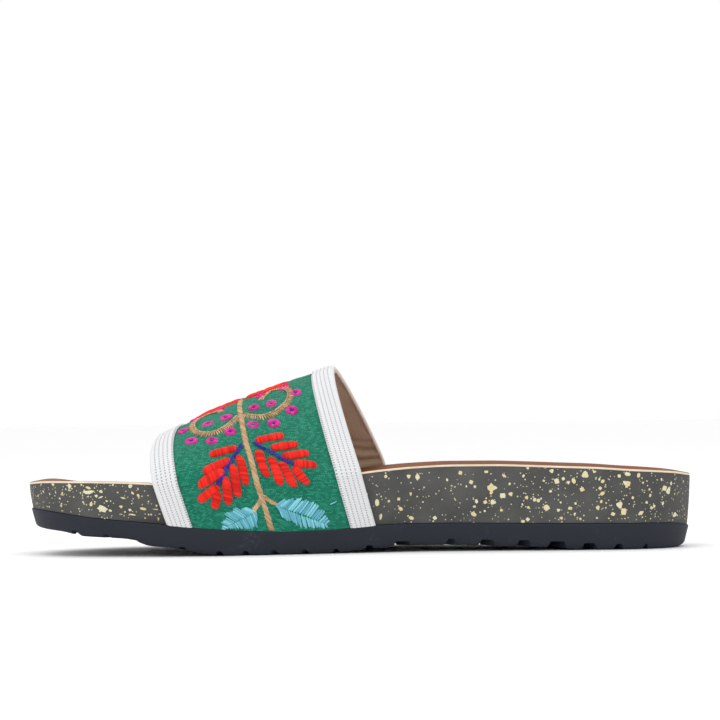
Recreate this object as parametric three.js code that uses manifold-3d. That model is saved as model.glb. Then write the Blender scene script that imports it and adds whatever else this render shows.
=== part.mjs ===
// A slide slipper for the right foot: a contoured footbed on a lugged outsole, under one wide strap.
// Millimetres. +Z is up, the toe points to -X, and the big-toe side of the foot is -Y.
// Shares of the length run from 0 at the back of the heel to 1 at the tip of the toe.
import * as THREE from "three";
import { mergeVertices } from "three/addons/utils/BufferGeometryUtils.js";
import Module from "manifold-3d";

const wasm = await Module();
wasm.setup();

// Driving dimensions of the whole slipper
const SOLE_LENGTH = 252;
const BALL_WIDTH = 94;
const SOLE_HEIGHT = 34; // the height that the footbed's rim is given in shares of
const OUTSOLE_HEIGHT = 10.7; // floor to the top of the outsole at the arch
const TOE_LIFT = 11; // floor to the underside of the toe's tip
const FIT_GAP = 0.3; // clearance between neighbouring pieces

// Outsole
const OUTSOLE_LEDGE = 0.5; // stands proud of the midsole's foot
const OUTSOLE_TAPER = 1.4; // its side leans in over its height
const TREAD_CORNER = 1.8; // bevel between side and tread
const GROOVE_WAVE = 3.2; // sideways swing of a tread groove
const GROOVE_WAVELENGTH = 31;
const GROOVE_DRAFT = 1.2; // each groove wall leans out by this

// Midsole and insole
const MIDSOLE_FLARE = 1.2; // the midsole's side leans out towards the rim
const CUP_DEPTH = 8.5; // the heel cup below its rim
const RIM_LAND = 2.6; // flat width on top of the rim
const END_SLOPE = 27; // run of the dish's slope at the heel and at the toe
const METATARSAL_PAD = 2.2;
const TOE_RIDGE = 1.6;
const TOE_DROP = 2.7; // the toe's rim is lower by this on the little-toe side
const INSOLE_THICKNESS = 1.3;
const COVER_BEVEL = 0.2; // where the insole's edge meets the midsole's

// Upper: one strap over the instep
const STRAP_WALL = 2.2; // fabric, padding and lining together
const STRAP_FRONT = 0.759; // shares of the length where its front and rear edge reach the sole
const STRAP_REAR = 0.4635;
const STRAP_SKEW = 0.141; // the strap lies square to the line of the ball joints
const FRONT_OPENING = 15.3; // crest above the rim at the front edge, on its inside
const REAR_OPENING = 36.4;
const LASTING_MARGIN = 13; // turned in under the midsole
const TAPE_WIDTH = 9;
const TAPE_THICKNESS = 1.0;
const TAPE_SEAT = 0.5; // the strap's wall is this much thinner under a tape

// Side view of the sole: tread, joint (outsole to midsole) and rim are heights above the floor, as shares
// of TOE_LIFT, OUTSOLE_HEIGHT and SOLE_HEIGHT. cup is the dish's depth as a share of CUP_DEPTH.
const SIDE_VIEW = [
  { share: 0.0, tread: 0.1, joint: 0.75, rim: 0.82, cup: 0.95 },
  { share: 0.03, tread: 0.02, joint: 0.885, rim: 0.857, cup: 0.97 },
  { share: 0.055, tread: 0.0, joint: 0.915, rim: 0.873, cup: 1.0 },
  { share: 0.1, tread: 0.0, joint: 0.93, rim: 0.894, cup: 1.0 },
  { share: 0.15, tread: 0.0, joint: 0.943, rim: 0.921, cup: 0.98 },
  { share: 0.2, tread: 0.07, joint: 0.953, rim: 0.936, cup: 0.94 },
  { share: 0.25, tread: 0.13, joint: 0.968, rim: 0.952, cup: 0.88 },
  { share: 0.3, tread: 0.17, joint: 0.983, rim: 0.963, cup: 0.8 },
  { share: 0.36, tread: 0.21, joint: 1.0, rim: 0.964, cup: 0.7 },
  { share: 0.42, tread: 0.22, joint: 1.0, rim: 0.947, cup: 0.6 },
  { share: 0.47, tread: 0.17, joint: 0.967, rim: 0.917, cup: 0.5 },
  { share: 0.51, tread: 0.08, joint: 0.895, rim: 0.883, cup: 0.43 },
  { share: 0.545, tread: 0.0, joint: 0.846, rim: 0.862, cup: 0.38 },
  { share: 0.6, tread: 0.0, joint: 0.822, rim: 0.84, cup: 0.32 },
  { share: 0.65, tread: 0.0, joint: 0.853, rim: 0.822, cup: 0.28 },
  { share: 0.7, tread: 0.0, joint: 0.92, rim: 0.803, cup: 0.26 },
  { share: 0.74, tread: 0.11, joint: 0.99, rim: 0.797, cup: 0.25 },
  { share: 0.78, tread: 0.3, joint: 1.09, rim: 0.8, cup: 0.25 },
  { share: 0.81, tread: 0.36, joint: 1.165, rim: 0.811, cup: 0.25 },
  { share: 0.845, tread: 0.6, joint: 1.24, rim: 0.825, cup: 0.25 },
  { share: 0.88, tread: 0.65, joint: 1.315, rim: 0.835, cup: 0.24 },
  { share: 0.91, tread: 0.69, joint: 1.4, rim: 0.841, cup: 0.22 },
  { share: 0.945, tread: 0.85, joint: 1.52, rim: 0.845, cup: 0.18 },
  { share: 0.97, tread: 0.91, joint: 1.6, rim: 0.836, cup: 0.14 },
  { share: 1.0, tread: 1.0, joint: 1.66, rim: 0.805, cup: 0.1 },
];

// Top view of the rim: half width and middle of the width, as shares of BALL_WIDTH.
const TOP_VIEW = [
  { share: 0.0, half: 0.33, centre: 0.0 },
  { share: 0.14, half: 0.335, centre: 0.0 },
  { share: 0.22, half: 0.34, centre: 0.005 },
  { share: 0.3, half: 0.341, centre: 0.019 },
  { share: 0.38, half: 0.345, centre: 0.033 },
  { share: 0.46, half: 0.364, centre: 0.038 },
  { share: 0.54, half: 0.406, centre: 0.036 },
  { share: 0.61, half: 0.457, centre: 0.03 },
  { share: 0.67, half: 0.487, centre: 0.021 },
  { share: 0.72, half: 0.5, centre: 0.012 },
  { share: 0.77, half: 0.497, centre: 0.003 },
  { share: 0.82, half: 0.487, centre: -0.009 },
  { share: 0.9, half: 0.483, centre: -0.032 },
  { share: 1.0, half: 0.485, centre: -0.08 },
];
const HEEL_ROUND = { reach: 0.125, power: 2.0 }; // reach: share of the length that the rounding takes
const TOE_ROUND = { reach: 0.22, power: 2.2 };

// Where the outsole widens to carry the strap's ends. before: distance of each row from the strap's rear
// edge, as a share of the length, and after: from its front edge.
const LEDGE_BLEND = { before: 0.075, after: 0.07, settled: 0.01 };

// Tread grooves across the underside. mouth and depth are in millimetres.
const GROOVES = [
  { share: 0.082, mouth: 3.4, depth: 2.0 },
  { share: 0.128, mouth: 4.2, depth: 2.2 },
  { share: 0.172, mouth: 6.2, depth: 2.4 },
  { share: 0.22, mouth: 7.4, depth: 2.4 },
  { share: 0.269, mouth: 5.8, depth: 2.4 },
  { share: 0.322, mouth: 6.6, depth: 2.3 },
  { share: 0.375, mouth: 4.6, depth: 2.4 },
  { share: 0.45, mouth: 7.6, depth: 1.9 },
  { share: 0.5, mouth: 4.2, depth: 1.7 },
  { share: 0.547, mouth: 3.6, depth: 1.8 },
  { share: 0.585, mouth: 3.6, depth: 1.8 },
  { share: 0.622, mouth: 3.6, depth: 1.8 },
  { share: 0.66, mouth: 3.6, depth: 1.8 },
  { share: 0.697, mouth: 3.8, depth: 1.8 },
  { share: 0.752, mouth: 4.4, depth: 1.8 },
  { share: 0.826, mouth: 4.6, depth: 1.6 },
  { share: 0.87, mouth: 3.6, depth: 1.4 },
  { share: 0.928, mouth: 4.4, depth: 1.4 },
];

// Sections of the strap from its front edge (0) to its rear edge (1). crest: how far the crest has risen
// from the front opening to the rear one. rise and spread: powers of the arch, 2 and 2 being an ellipse.
// low_lean and high_lean: how far the section leans forward per height, below and above the rim.
const STRAP_SECTIONS = [
  { along: 0.0, crest: 0.0, rise: 2.0, spread: 2.0, low_lean: 0.325, high_lean: 0.26 },
  { along: 0.15, crest: 0.215, rise: 1.85, spread: 1.96, low_lean: 0.31, high_lean: 0.275 },
  { along: 0.3, crest: 0.385, rise: 1.7, spread: 1.92, low_lean: 0.3, high_lean: 0.29 },
  { along: 0.45, crest: 0.54, rise: 1.55, spread: 1.88, low_lean: 0.29, high_lean: 0.305 },
  { along: 0.67, crest: 0.745, rise: 1.37, spread: 1.83, low_lean: 0.275, high_lean: 0.325 },
  { along: 0.86, crest: 0.91, rise: 1.25, spread: 1.78, low_lean: 0.26, high_lean: 0.35 },
  { along: 1.0, crest: 1.0, rise: 1.18, spread: 1.75, low_lean: 0.25, high_lean: 0.372 },
];

// Mesh fineness
const END_STEPS = 6; // stations round the heel and round the toe
const MIDDLE_STEPS = 28;
const TOP_STEPS = 10; // points across the footbed
const BASE_STEPS = 4; // points across a joint or the tread
const WALL_STEPS = 3; // points up the midsole's side
const ARCH_STEPS = 9; // points of the strap from rim to crest
const STRAP_STEPS = 11; // sections of the strap between its tapes
const GROOVE_STEPS = 15;

const { lerp, clamp } = THREE.MathUtils;

// A table's column at a given key, on a smooth curve that never overshoots its rows.
function tableAt(rows, key, column, at) {
  const last = rows.length - 1;
  if (at <= rows[0][key]) return rows[0][column];
  if (at >= rows[last][key]) return rows[last][column];
  const i = rows.findIndex((row) => row[key] > at) - 1;
  const gap = (n) => rows[n + 1][key] - rows[n][key];
  const slope = (n) => (rows[n + 1][column] - rows[n][column]) / gap(n);
  const tangent = (n) => {
    if (n === 0) return slope(0);
    if (n === last) return slope(last - 1);
    const before = slope(n - 1);
    const after = slope(n);
    return before * after <= 0 ? 0 : (2 * before * after) / (before + after);
  };
  const width = gap(i);
  const t = (at - rows[i][key]) / width;
  return (
    rows[i][column] * (2 * t ** 3 - 3 * t ** 2 + 1) +
    tangent(i) * width * (t ** 3 - 2 * t ** 2 + t) +
    rows[i + 1][column] * (3 * t ** 2 - 2 * t ** 3) +
    tangent(i + 1) * width * (t ** 3 - t ** 2)
  );
}

const xAt = (share) => (0.5 - share) * SOLE_LENGTH;
const shareAt = (x) => 0.5 - x / SOLE_LENGTH;

// Heights above the floor, at a share of the length
const treadHeight = (share) => TOE_LIFT * tableAt(SIDE_VIEW, "share", "tread", share);
const jointHeight = (share) => OUTSOLE_HEIGHT * tableAt(SIDE_VIEW, "share", "joint", share);
const rimHeight = (share) => SOLE_HEIGHT * tableAt(SIDE_VIEW, "share", "rim", share);

// How wide a rounded end is, from 0 at its tip to 1 where the rounding ends.
function roundEnd(distance, { reach, power }) {
  const left = Math.max(0, 1 - distance / reach);
  return Math.pow(Math.max(0, 1 - Math.pow(left, power)), 1 / power);
}
const bothEnds = (share) => roundEnd(share, HEEL_ROUND) * roundEnd(1 - share, TOE_ROUND);

// The rim's edge in the top view. side: -1 on the big-toe side, 1 on the little-toe side.
function edgeAt(share, side) {
  const half = tableAt(TOP_VIEW, "share", "half", share) * bothEnds(share);
  return BALL_WIDTH * (tableAt(TOP_VIEW, "share", "centre", share) + side * half);
}

// Stations along the sole, heel to toe: close together round the two ends, even in between.
function stationShares() {
  const heel = HEEL_ROUND.reach;
  const toe = TOE_ROUND.reach / 2;
  const round = (i) => 1 - Math.cos(((i / END_STEPS) * Math.PI) / 2);
  const ends = Array.from({ length: END_STEPS }, (_, i) => i);
  const middle = Array.from({ length: MIDDLE_STEPS + 1 }, (_, i) => lerp(heel, 1 - toe, i / MIDDLE_STEPS));
  return [...ends.map((i) => heel * round(i)), ...middle, ...ends.reverse().map((i) => 1 - toe * round(i))];
}
const STATIONS = stationShares();

// The rim's outline at a station, moved outwards by a distance, as a point in the top view.
function outlinePoint(station, side, outwards) {
  const last = STATIONS.length - 1;
  const at = (n) => new THREE.Vector2(xAt(STATIONS[n]), edgeAt(STATIONS[n], side));
  const normal = new THREE.Vector2(station === 0 ? 1 : -1, 0);
  if (station > 0 && station < last) {
    const forward = at(station + 1).sub(at(station - 1));
    normal.set(side * forward.y, -side * forward.x).normalize();
  }
  return at(station).addScaledVector(normal, outwards);
}

// A closed body from loops of points, one loop for each section along it. With caps, each loop is a band
// whose first half is matched by its second half, and the bands at both ends are filled in. Each quad is
// split along its shorter diagonal, so that two surfaces a constant distance apart never touch.
function loft(loops, caps = false) {
  const around = loops[0].length;
  const points = loops.flat();
  const positions = points.flatMap((p) => [p.x, p.y, p.z]);
  const faces = [];
  const quad = (a, b, c, d) => {
    const split = points[a].distanceTo(points[c]) - points[b].distanceTo(points[d]);
    if (split < 1e-6) faces.push([a, b, c], [a, c, d]);
    else faces.push([a, b, d], [b, c, d]);
  };
  for (let i = 0; i < loops.length - 1; i++) {
    for (let j = 0; j < around; j++) {
      const next = (j + 1) % around;
      quad(i * around + j, (i + 1) * around + j, (i + 1) * around + next, i * around + next);
    }
  }
  if (caps) {
    const end = (loops.length - 1) * around;
    for (let j = 0; j < around / 2 - 1; j++) {
      const mate = around - 1 - j;
      quad(j, j + 1, mate - 1, mate);
      quad(end + j, end + mate, end + mate - 1, end + j + 1);
    }
  }
  const loose = new THREE.BufferGeometry();
  loose.setAttribute("position", new THREE.Float32BufferAttribute(positions, 3));
  loose.setIndex(faces.flat());
  const merged = mergeVertices(loose, 1e-4);
  const index = merged.index.array;
  const kept = [];
  for (let i = 0; i < index.length; i += 3) {
    const [a, b, c] = [index[i], index[i + 1], index[i + 2]];
    if (a !== b && b !== c && c !== a) kept.push(a, b, c);
  }
  merged.setIndex(kept);
  return merged;
}

function solidOf(geometry) {
  return new wasm.Manifold(
    new wasm.Mesh({
      numProp: 3,
      vertProperties: geometry.attributes.position.array,
      triVerts: new Uint32Array(geometry.index.array),
    }),
  );
}

function geometryOf(solid) {
  const mesh = solid.getMesh();
  const geometry = new THREE.BufferGeometry();
  geometry.setAttribute("position", new THREE.BufferAttribute(mesh.vertProperties, 3));
  geometry.setIndex(new THREE.BufferAttribute(mesh.triVerts, 1));
  return geometry;
}

// A layer of the sole. under and over give its lower and upper height at (share, across), across running
// from -1 at the big-toe edge to 1 at the little-toe edge. levels go up its side: outwards is how far each
// stands out from the rim's outline, height is 0 at the lower edge and 1 at the upper one.
function soleLayer({ under, over, levels, underSteps, overSteps }) {
  const bottom = levels[0];
  const top = levels[levels.length - 1];
  const sides = levels.slice(1, -1);
  const corner = (level, station, side) => {
    return outlinePoint(station, side, level.outwards(STATIONS[station], side));
  };
  const surface = (level, station, steps, height) => {
    const from = corner(level, station, -1);
    const to = corner(level, station, 1);
    return Array.from({ length: steps + 1 }, (_, j) => {
      const p = from.clone().lerp(to, j / steps);
      return new THREE.Vector3(p.x, p.y, height(shareAt(p.x), (2 * j) / steps - 1));
    });
  };
  const sidePoint = (level, station, side) => {
    const p = corner(level, station, side);
    const share = shareAt(p.x);
    return new THREE.Vector3(p.x, p.y, lerp(under(share, side), over(share, side), level.height));
  };
  return loft(
    STATIONS.map((_, station) => [
      ...surface(bottom, station, underSteps, under),
      ...sides.map((level) => sidePoint(level, station, 1)),
      ...surface(top, station, overSteps, over).reverse(),
      ...sides.map((level) => sidePoint(level, station, -1)).reverse(),
    ]),
  );
}

// 1 where the outsole's edge carries the strap on a side of the foot, 0 away from it.
function carriesStrap(share, side) {
  const { smoothstep } = THREE.MathUtils;
  const shift = (-side * STRAP_SKEW * BALL_WIDTH) / 2 / SOLE_LENGTH;
  const { before, after, settled } = LEDGE_BLEND;
  const rear = STRAP_REAR - settled + shift;
  const front = STRAP_FRONT + settled + shift;
  return smoothstep(share, rear - before, rear) * (1 - smoothstep(share, front, front + after));
}

// The outsole's edge as a distance beyond the rim's outline
function outsoleEdge(share, side) {
  const strap = FIT_GAP + STRAP_WALL - TAPE_SEAT + FIT_GAP + TAPE_THICKNESS;
  return lerp(OUTSOLE_LEDGE, strap, carriesStrap(share, side)) - MIDSOLE_FLARE;
}

// One tread groove: a band with leaning walls that waves across the underside.
function groove({ share, mouth, depth }) {
  const tread = treadHeight(share);
  const reach = BALL_WIDTH * 0.62; // past both edges of the sole
  const below = { z: tread - 1.5 * depth, half: mouth / 2 + GROOVE_DRAFT * 1.5 };
  const floor = { z: tread + depth, half: mouth / 2 - GROOVE_DRAFT };
  const loops = [];
  for (let i = 0; i <= GROOVE_STEPS; i++) {
    const y = lerp(-reach, reach, i / GROOVE_STEPS);
    const x = xAt(share) + GROOVE_WAVE * Math.cos((2 * Math.PI * y) / GROOVE_WAVELENGTH);
    loops.push([
      new THREE.Vector3(x - below.half, y, below.z),
      new THREE.Vector3(x + below.half, y, below.z),
      new THREE.Vector3(x + floor.half, y, floor.z),
      new THREE.Vector3(x - floor.half, y, floor.z),
    ]);
  }
  return solidOf(loft(loops, true));
}

function outsole() {
  const inset = (amount) => (share, side) => outsoleEdge(share, side) - amount;
  const block = soleLayer({
    under: treadHeight,
    over: jointHeight,
    levels: [
      { outwards: inset(OUTSOLE_TAPER + TREAD_CORNER), height: 0 },
      { outwards: inset(OUTSOLE_TAPER), height: 0.17 },
      { outwards: inset(0), height: 0.94 },
      { outwards: inset(0.5), height: 1 },
    ],
    underSteps: BASE_STEPS,
    overSteps: BASE_STEPS,
  });
  return geometryOf(GROOVES.reduce((body, row) => body.subtract(groove(row)), solidOf(block)));
}

// Depth of the footbed's surface below its rim: a dish with a flat land round it, a pad behind the ball
// joints and a low ridge under the toes.
function dishDepth(share, across) {
  const half = (edgeAt(share, 1) - edgeAt(share, -1)) / 2;
  const fromEnd = Math.min(share, 1 - share) * SOLE_LENGTH;
  const side = half > RIM_LAND ? Math.min(1, (Math.abs(across) * half) / (half - RIM_LAND)) : 1;
  const end = clamp(1 - (fromEnd - RIM_LAND) / END_SLOPE, 0, 1);
  const bowl = Math.pow(Math.max(0, 1 - side ** 3 - end ** 3), 1.25);
  const bump = (centre, width) => Math.exp(-(((share - centre) / width) ** 2)) * (1 - side ** 2) ** 2;
  const raised = METATARSAL_PAD * bump(0.56, 0.06) + TOE_RIDGE * bump(0.815, 0.028);
  return CUP_DEPTH * tableAt(SIDE_VIEW, "share", "cup", share) * bowl - raised;
}


// How far the toe's rim is below the big-toe side's, from nothing there to TOE_DROP at the little toe.
function toeDrop(share, across) {
  const { smoothstep } = THREE.MathUtils;
  const half = (edgeAt(share, 1) - edgeAt(share, -1)) / 2;
  const sideways = clamp(0.5 + (across * half) / BALL_WIDTH, 0, 1);
  return TOE_DROP * sideways * smoothstep(share, 0.735, 0.8) * (1 - smoothstep(share, 0.93, 0.99));
}

const insoleTop = (share, across) => rimHeight(share) - toeDrop(share, across) - dishDepth(share, across);
const insoleUnder = (share, across) => insoleTop(share, across) - INSOLE_THICKNESS;
const midsoleTop = (share, across) => insoleUnder(share, across) - FIT_GAP;
const midsoleUnder = (share) => jointHeight(share) + FIT_GAP;
const flareAt = (height) => -MIDSOLE_FLARE * (1 - height) ** 1.5;
const levelAt = (outwards, height) => ({ outwards: () => outwards, height });

function insole() {
  return soleLayer({
    under: insoleUnder,
    over: insoleTop,
    levels: [levelAt(-COVER_BEVEL, 0), levelAt(0, 0.35), levelAt(0, 0.75), levelAt(-2 * COVER_BEVEL, 1)],
    underSteps: TOP_STEPS,
    overSteps: TOP_STEPS,
  });
}

// The strap's section from the big-toe side over the crest to the little-toe side, at a place along it.
// Each point has its place on the inner face, its part, its side, and the way the wall grows there.
function strapSection(along) {
  const row = (column) => tableAt(STRAP_SECTIONS, "along", column, clamp(along, 0, 1));
  const [low, high] = [row("low_lean"), row("high_lean")];
  const centre = xAt(lerp(STRAP_FRONT, STRAP_REAR, along));
  const footX = (y) => centre + STRAP_SKEW * y;
  const edgeY = (side, lean, height) => {
    let y = (side * BALL_WIDTH) / 2;
    for (let n = 0; n < 6; n++) y = edgeAt(shareAt(footX(y) - lean * height), side);
    return y;
  };
  const side = (sign) => {
    const footY = edgeY(sign, low, 0);
    const foot = jointHeight(shareAt(footX(footY)));
    const wall = rimHeight(shareAt(footX(footY))) - foot;
    const wallY = (height) => edgeY(sign, low, height * wall) + sign * (FIT_GAP + flareAt(height));
    const foldY = wallY((FIT_GAP + STRAP_WALL) / wall);
    const points = [];
    const add = (part, x, y, z, grows) => points.push({ part, sign, at: new THREE.Vector3(x, y, z), grows });
    // the margin under the midsole, out to the fold at the sole
    const down = new THREE.Vector3(0, 0, -1);
    for (const inwards of [LASTING_MARGIN, LASTING_MARGIN / 2, 0]) {
      const y = foldY - sign * inwards;
      const z = jointHeight(shareAt(footX(y))) + FIT_GAP + STRAP_WALL;
      add(inwards > 0 ? "margin" : "fold", footX(y), y, z, down);
    }
    // up the midsole's side
    const outwards = new THREE.Vector3(0, sign, 0);
    const foldZ = points[2].at.z;
    for (let i = 1; i <= WALL_STEPS; i++) {
      const z = lerp(foldZ, foot + wall, i / WALL_STEPS);
      const y = wallY((z - foot) / wall);
      add("wall", footX(y) - low * (z - foot), y, z, outwards);
    }
    // over the foot
    const start = points[points.length - 1].at;
    const startX = start.x - STRAP_SKEW * start.y;
    const crest = lerp(FRONT_OPENING, REAR_OPENING, row("crest"));
    for (let i = 1; i <= ARCH_STEPS; i++) {
      const angle = ((i / ARCH_STEPS) * Math.PI) / 2;
      const y = i === ARCH_STEPS ? 0 : start.y * Math.cos(angle) ** (2 / row("spread"));
      const risen = crest * Math.sin(angle) ** (2 / row("rise"));
      add("arch", startX + STRAP_SKEW * y - high * risen, y, start.z + risen, null);
    }
    return points;
  };
  const near = side(-1);
  const far = side(1);
  const crest = near.pop();
  crest.at.add(far.pop().at).multiplyScalar(0.5);
  return [...near, crest, ...far.reverse()];
}

// A strap section with the way the wall grows filled in over the foot, square to the surface.
function strapFace(along) {
  const nudge = 0.01;
  const section = strapSection(along);
  const ahead = strapSection(along + nudge);
  return section.map((point, k) => {
    if (point.grows) return point;
    const across = section[k + 1].at.clone().sub(section[k - 1].at);
    const rearwards = ahead[k].at.clone().sub(point.at);
    return { ...point, grows: rearwards.cross(across).normalize() };
  });
}

// A point at a distance outside the strap's inner face. The fold is square, and margins are full.
function outsideOf({ at, part, sign, grows }, distance) {
  if (part === "fold") return at.clone().add(new THREE.Vector3(0, sign * distance, -STRAP_WALL));
  return at.clone().addScaledVector(grows, part === "margin" ? STRAP_WALL : distance);
}

const FRONT_FACE = strapFace(0);
const REAR_FACE = strapFace(1);

// The points of a band's section, some millimetres behind the front edge and others ahead of the rear
// edge of the strap, t going from the one (0) to the other (1).
function strapPoints(behind, ahead, t) {
  return FRONT_FACE.map((point, k) => {
    const run = point.at.distanceTo(REAR_FACE[k].at);
    return strapFace(lerp(behind / run, 1 - ahead / run, t))[k];
  });
}

// The upper: one shell from margin to margin. Under the tapes its wall is thinner by their seat.
function upper() {
  const seat = TAPE_WIDTH + FIT_GAP;
  const step = 0.3; // run of the step beside a seat
  const band = (points, wall) => [
    ...points.map(({ at }) => at),
    ...points.map((point) => outsideOf(point, wall)).reverse(),
  ];
  const thin = STRAP_WALL - TAPE_SEAT;
  const run = (behind, ahead, t, wall) => band(strapPoints(behind, ahead, t), wall);
  const fabric = Array.from({ length: STRAP_STEPS + 1 }, (_, i) =>
    run(seat + step, seat + step, 1 - i / STRAP_STEPS, STRAP_WALL),
  );
  const rear = [0, 0.5, 1].map((t) => run(0, seat * t, 1, thin));
  const front = [1, 0.5, 0].map((t) => run(seat * t, 0, 0, thin));
  return loft([...rear, ...fabric, ...front], true);
}

// A tape on its seat, from the sole on one side to the sole on the other. Its ends stop at the outsole.
function tape(atFront) {
  const under = STRAP_WALL - TAPE_SEAT + FIT_GAP;
  const loops = [0, 0.5, 1].map((t) => {
    const from = atFront ? TAPE_WIDTH * (1 - t) : 0;
    const points = (atFront ? strapPoints(from, 0, 0) : strapPoints(0, TAPE_WIDTH * t, 1)).filter(
      ({ part }) => part !== "margin",
    );
    return [
      ...points.map((point) => outsideOf(point, under)),
      ...points.map((point) => outsideOf(point, under + TAPE_THICKNESS)).reverse(),
    ];
  });
  return loft(loops, true);
}

// The room for one turned-in margin under the midsole
function marginRoom(sign) {
  const spare = new THREE.Vector3(0, -sign * FIT_GAP, FIT_GAP);
  const loops = [];
  for (let i = 0; i <= STRAP_STEPS; i++) {
    const points = strapPoints(-FIT_GAP, -FIT_GAP, 1 - i / STRAP_STEPS).filter((p) => p.sign === sign);
    const turned = points.filter(({ part }) => part === "margin" || part === "fold");
    const margin = turned.map(({ at }) => at.clone());
    const ordered = sign < 0 ? margin : margin.reverse();
    const inner = ordered[0].clone().add(spare);
    const beyond = sign * 2 * STRAP_WALL; // past the midsole's side, so that the room is open there
    const outer = ordered[2].clone().add(new THREE.Vector3(STRAP_SKEW * beyond, beyond, FIT_GAP));
    const deep = new THREE.Vector3(0, 0, -2 * STRAP_WALL);
    const loop = [inner.clone().add(deep), outer.clone().add(deep), outer, inner];
    loops.push(sign < 0 ? loop.reverse() : loop);
  }
  return solidOf(loft(loops, true));
}

function midsole() {
  const block = soleLayer({
    under: midsoleUnder,
    over: midsoleTop,
    levels: [
      ...[0, 1 / 3, 2 / 3, 0.97].map((height) => levelAt(flareAt(height), height)),
      levelAt(-COVER_BEVEL, 1),
    ],
    underSteps: BASE_STEPS,
    overSteps: TOP_STEPS,
  });
  return geometryOf(solidOf(block).subtract(marginRoom(-1)).subtract(marginRoom(1)));
}

function piece(name, geometry, color, roughness) {
  const mesh = new THREE.Mesh(geometry, new THREE.MeshStandardMaterial({ color, roughness, metalness: 0 }));
  mesh.name = name;
  return mesh;
}

const slipper = new THREE.Group();
slipper.add(
  piece("outsole", outsole(), 0x262c38, 0.62),
  piece("midsole", midsole(), 0x55524f, 0.75),
  piece("insole", insole(), 0x8a4f2f, 0.6),
  piece("upper", upper(), 0x0f7a5c, 0.9),
  piece("trim_front", tape(true), 0xe4e5e8, 0.9),
  piece("trim_rear", tape(false), 0xe4e5e8, 0.9),
);

// The origin lies on the floor under the middle of the slipper's bounding box.
const bounds = new THREE.Box3().setFromObject(slipper);
const middle = bounds.getCenter(new THREE.Vector3());
for (const mesh of slipper.children) mesh.geometry.translate(-middle.x, -middle.y, -bounds.min.z);

export default slipper;
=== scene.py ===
import math

import bmesh
import bpy
import numpy as np
from mathutils import Matrix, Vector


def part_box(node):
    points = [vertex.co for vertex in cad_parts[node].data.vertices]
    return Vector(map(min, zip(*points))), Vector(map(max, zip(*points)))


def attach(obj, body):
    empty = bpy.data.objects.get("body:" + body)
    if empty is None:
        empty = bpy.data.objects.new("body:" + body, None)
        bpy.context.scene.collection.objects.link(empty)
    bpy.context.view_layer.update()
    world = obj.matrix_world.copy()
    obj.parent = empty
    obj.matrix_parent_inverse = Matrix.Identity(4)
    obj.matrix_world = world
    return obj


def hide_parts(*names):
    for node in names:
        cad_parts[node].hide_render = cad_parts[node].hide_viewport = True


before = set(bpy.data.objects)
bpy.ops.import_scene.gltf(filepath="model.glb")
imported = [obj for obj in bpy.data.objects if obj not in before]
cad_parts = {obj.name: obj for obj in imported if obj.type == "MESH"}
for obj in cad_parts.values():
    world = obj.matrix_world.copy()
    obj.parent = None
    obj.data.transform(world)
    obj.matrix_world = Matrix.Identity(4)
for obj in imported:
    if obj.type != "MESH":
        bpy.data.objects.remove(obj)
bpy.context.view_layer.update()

# A slide slipper for the right foot, seen from its big-toe side, toe to the left. Sizes are in
# millimetres, with +X towards the heel and +Z up, until in_metres puts them in the frame.


# Camera, light and floor
# A long lens a little above the footbed, level with the floor but for a small roll, white light from
# all round with a soft lamp above and one before the slipper, on a plain white floor.

camera_data = bpy.data.cameras.new("camera")
camera_data.lens = 182.4
camera_data.sensor_width = 36
camera = bpy.data.objects.new("camera", camera_data)
bpy.context.scene.collection.objects.link(camera)
tilt = Matrix.Rotation(math.radians(90.389), 4, "X") @ Matrix.Rotation(-0.011, 4, "Z")
camera.matrix_world = Matrix.Translation((0.0002, -1.4, 0.063)) @ tilt
bpy.context.scene.camera = camera
bpy.context.scene.view_settings.view_transform = "Standard"

world = bpy.data.worlds.new("white room")
bpy.context.scene.world = world
world.use_nodes = True
world.node_tree.nodes["Background"].inputs["Color"].default_value = (1, 1, 1, 1)
world.node_tree.nodes["Background"].inputs["Strength"].default_value = 1.0


def add_lamp(name, place, turn, size, power):
    data = bpy.data.lights.new(name, "AREA")
    data.size = size
    data.energy = power
    lamp = bpy.data.objects.new(name, data)
    lamp.location = place
    lamp.rotation_euler = [math.radians(a) for a in turn]
    bpy.context.scene.collection.objects.link(lamp)


add_lamp("soft lamp above", (-0.15, -0.1, 1.1), (0, -8, 0), 1.0, 4)
add_lamp("soft lamp before", (-0.7, -1.3, 0.8), (62, 0, -28), 0.8, 3)


def principled(name, color, roughness, **sockets):
    """A material with these plain values on its shader's own sockets. Colours are sRGB, 0 to 255."""
    finish = bpy.data.materials.new(name)
    finish.use_nodes = True
    shader = finish.node_tree.nodes["Principled BSDF"]
    shader.inputs["Base Color"].default_value = in_linear(color)
    shader.inputs["Roughness"].default_value = roughness
    for socket, value in sockets.items():
        shader.inputs[socket.replace("_", " ")].default_value = value
    return finish


def in_linear(color):
    return (*[(c / 255 / 12.92 if c < 10.3 else ((c / 255 + 0.055) / 1.055) ** 2.4) for c in color], 1)


bpy.ops.object.select_all(action="DESELECT")
bpy.ops.mesh.primitive_plane_add(size=9)
floor = bpy.context.active_object
floor.name = floor.data.name = "floor"
floor.data.materials.append(principled("white floor", (252, 252, 253), 0.6))


# Outsole
# One moulding of dark foam rubber with wavy grooves across its tread, glued on from below. It
# stands out like a shelf where it carries the ends of the strap.

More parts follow.
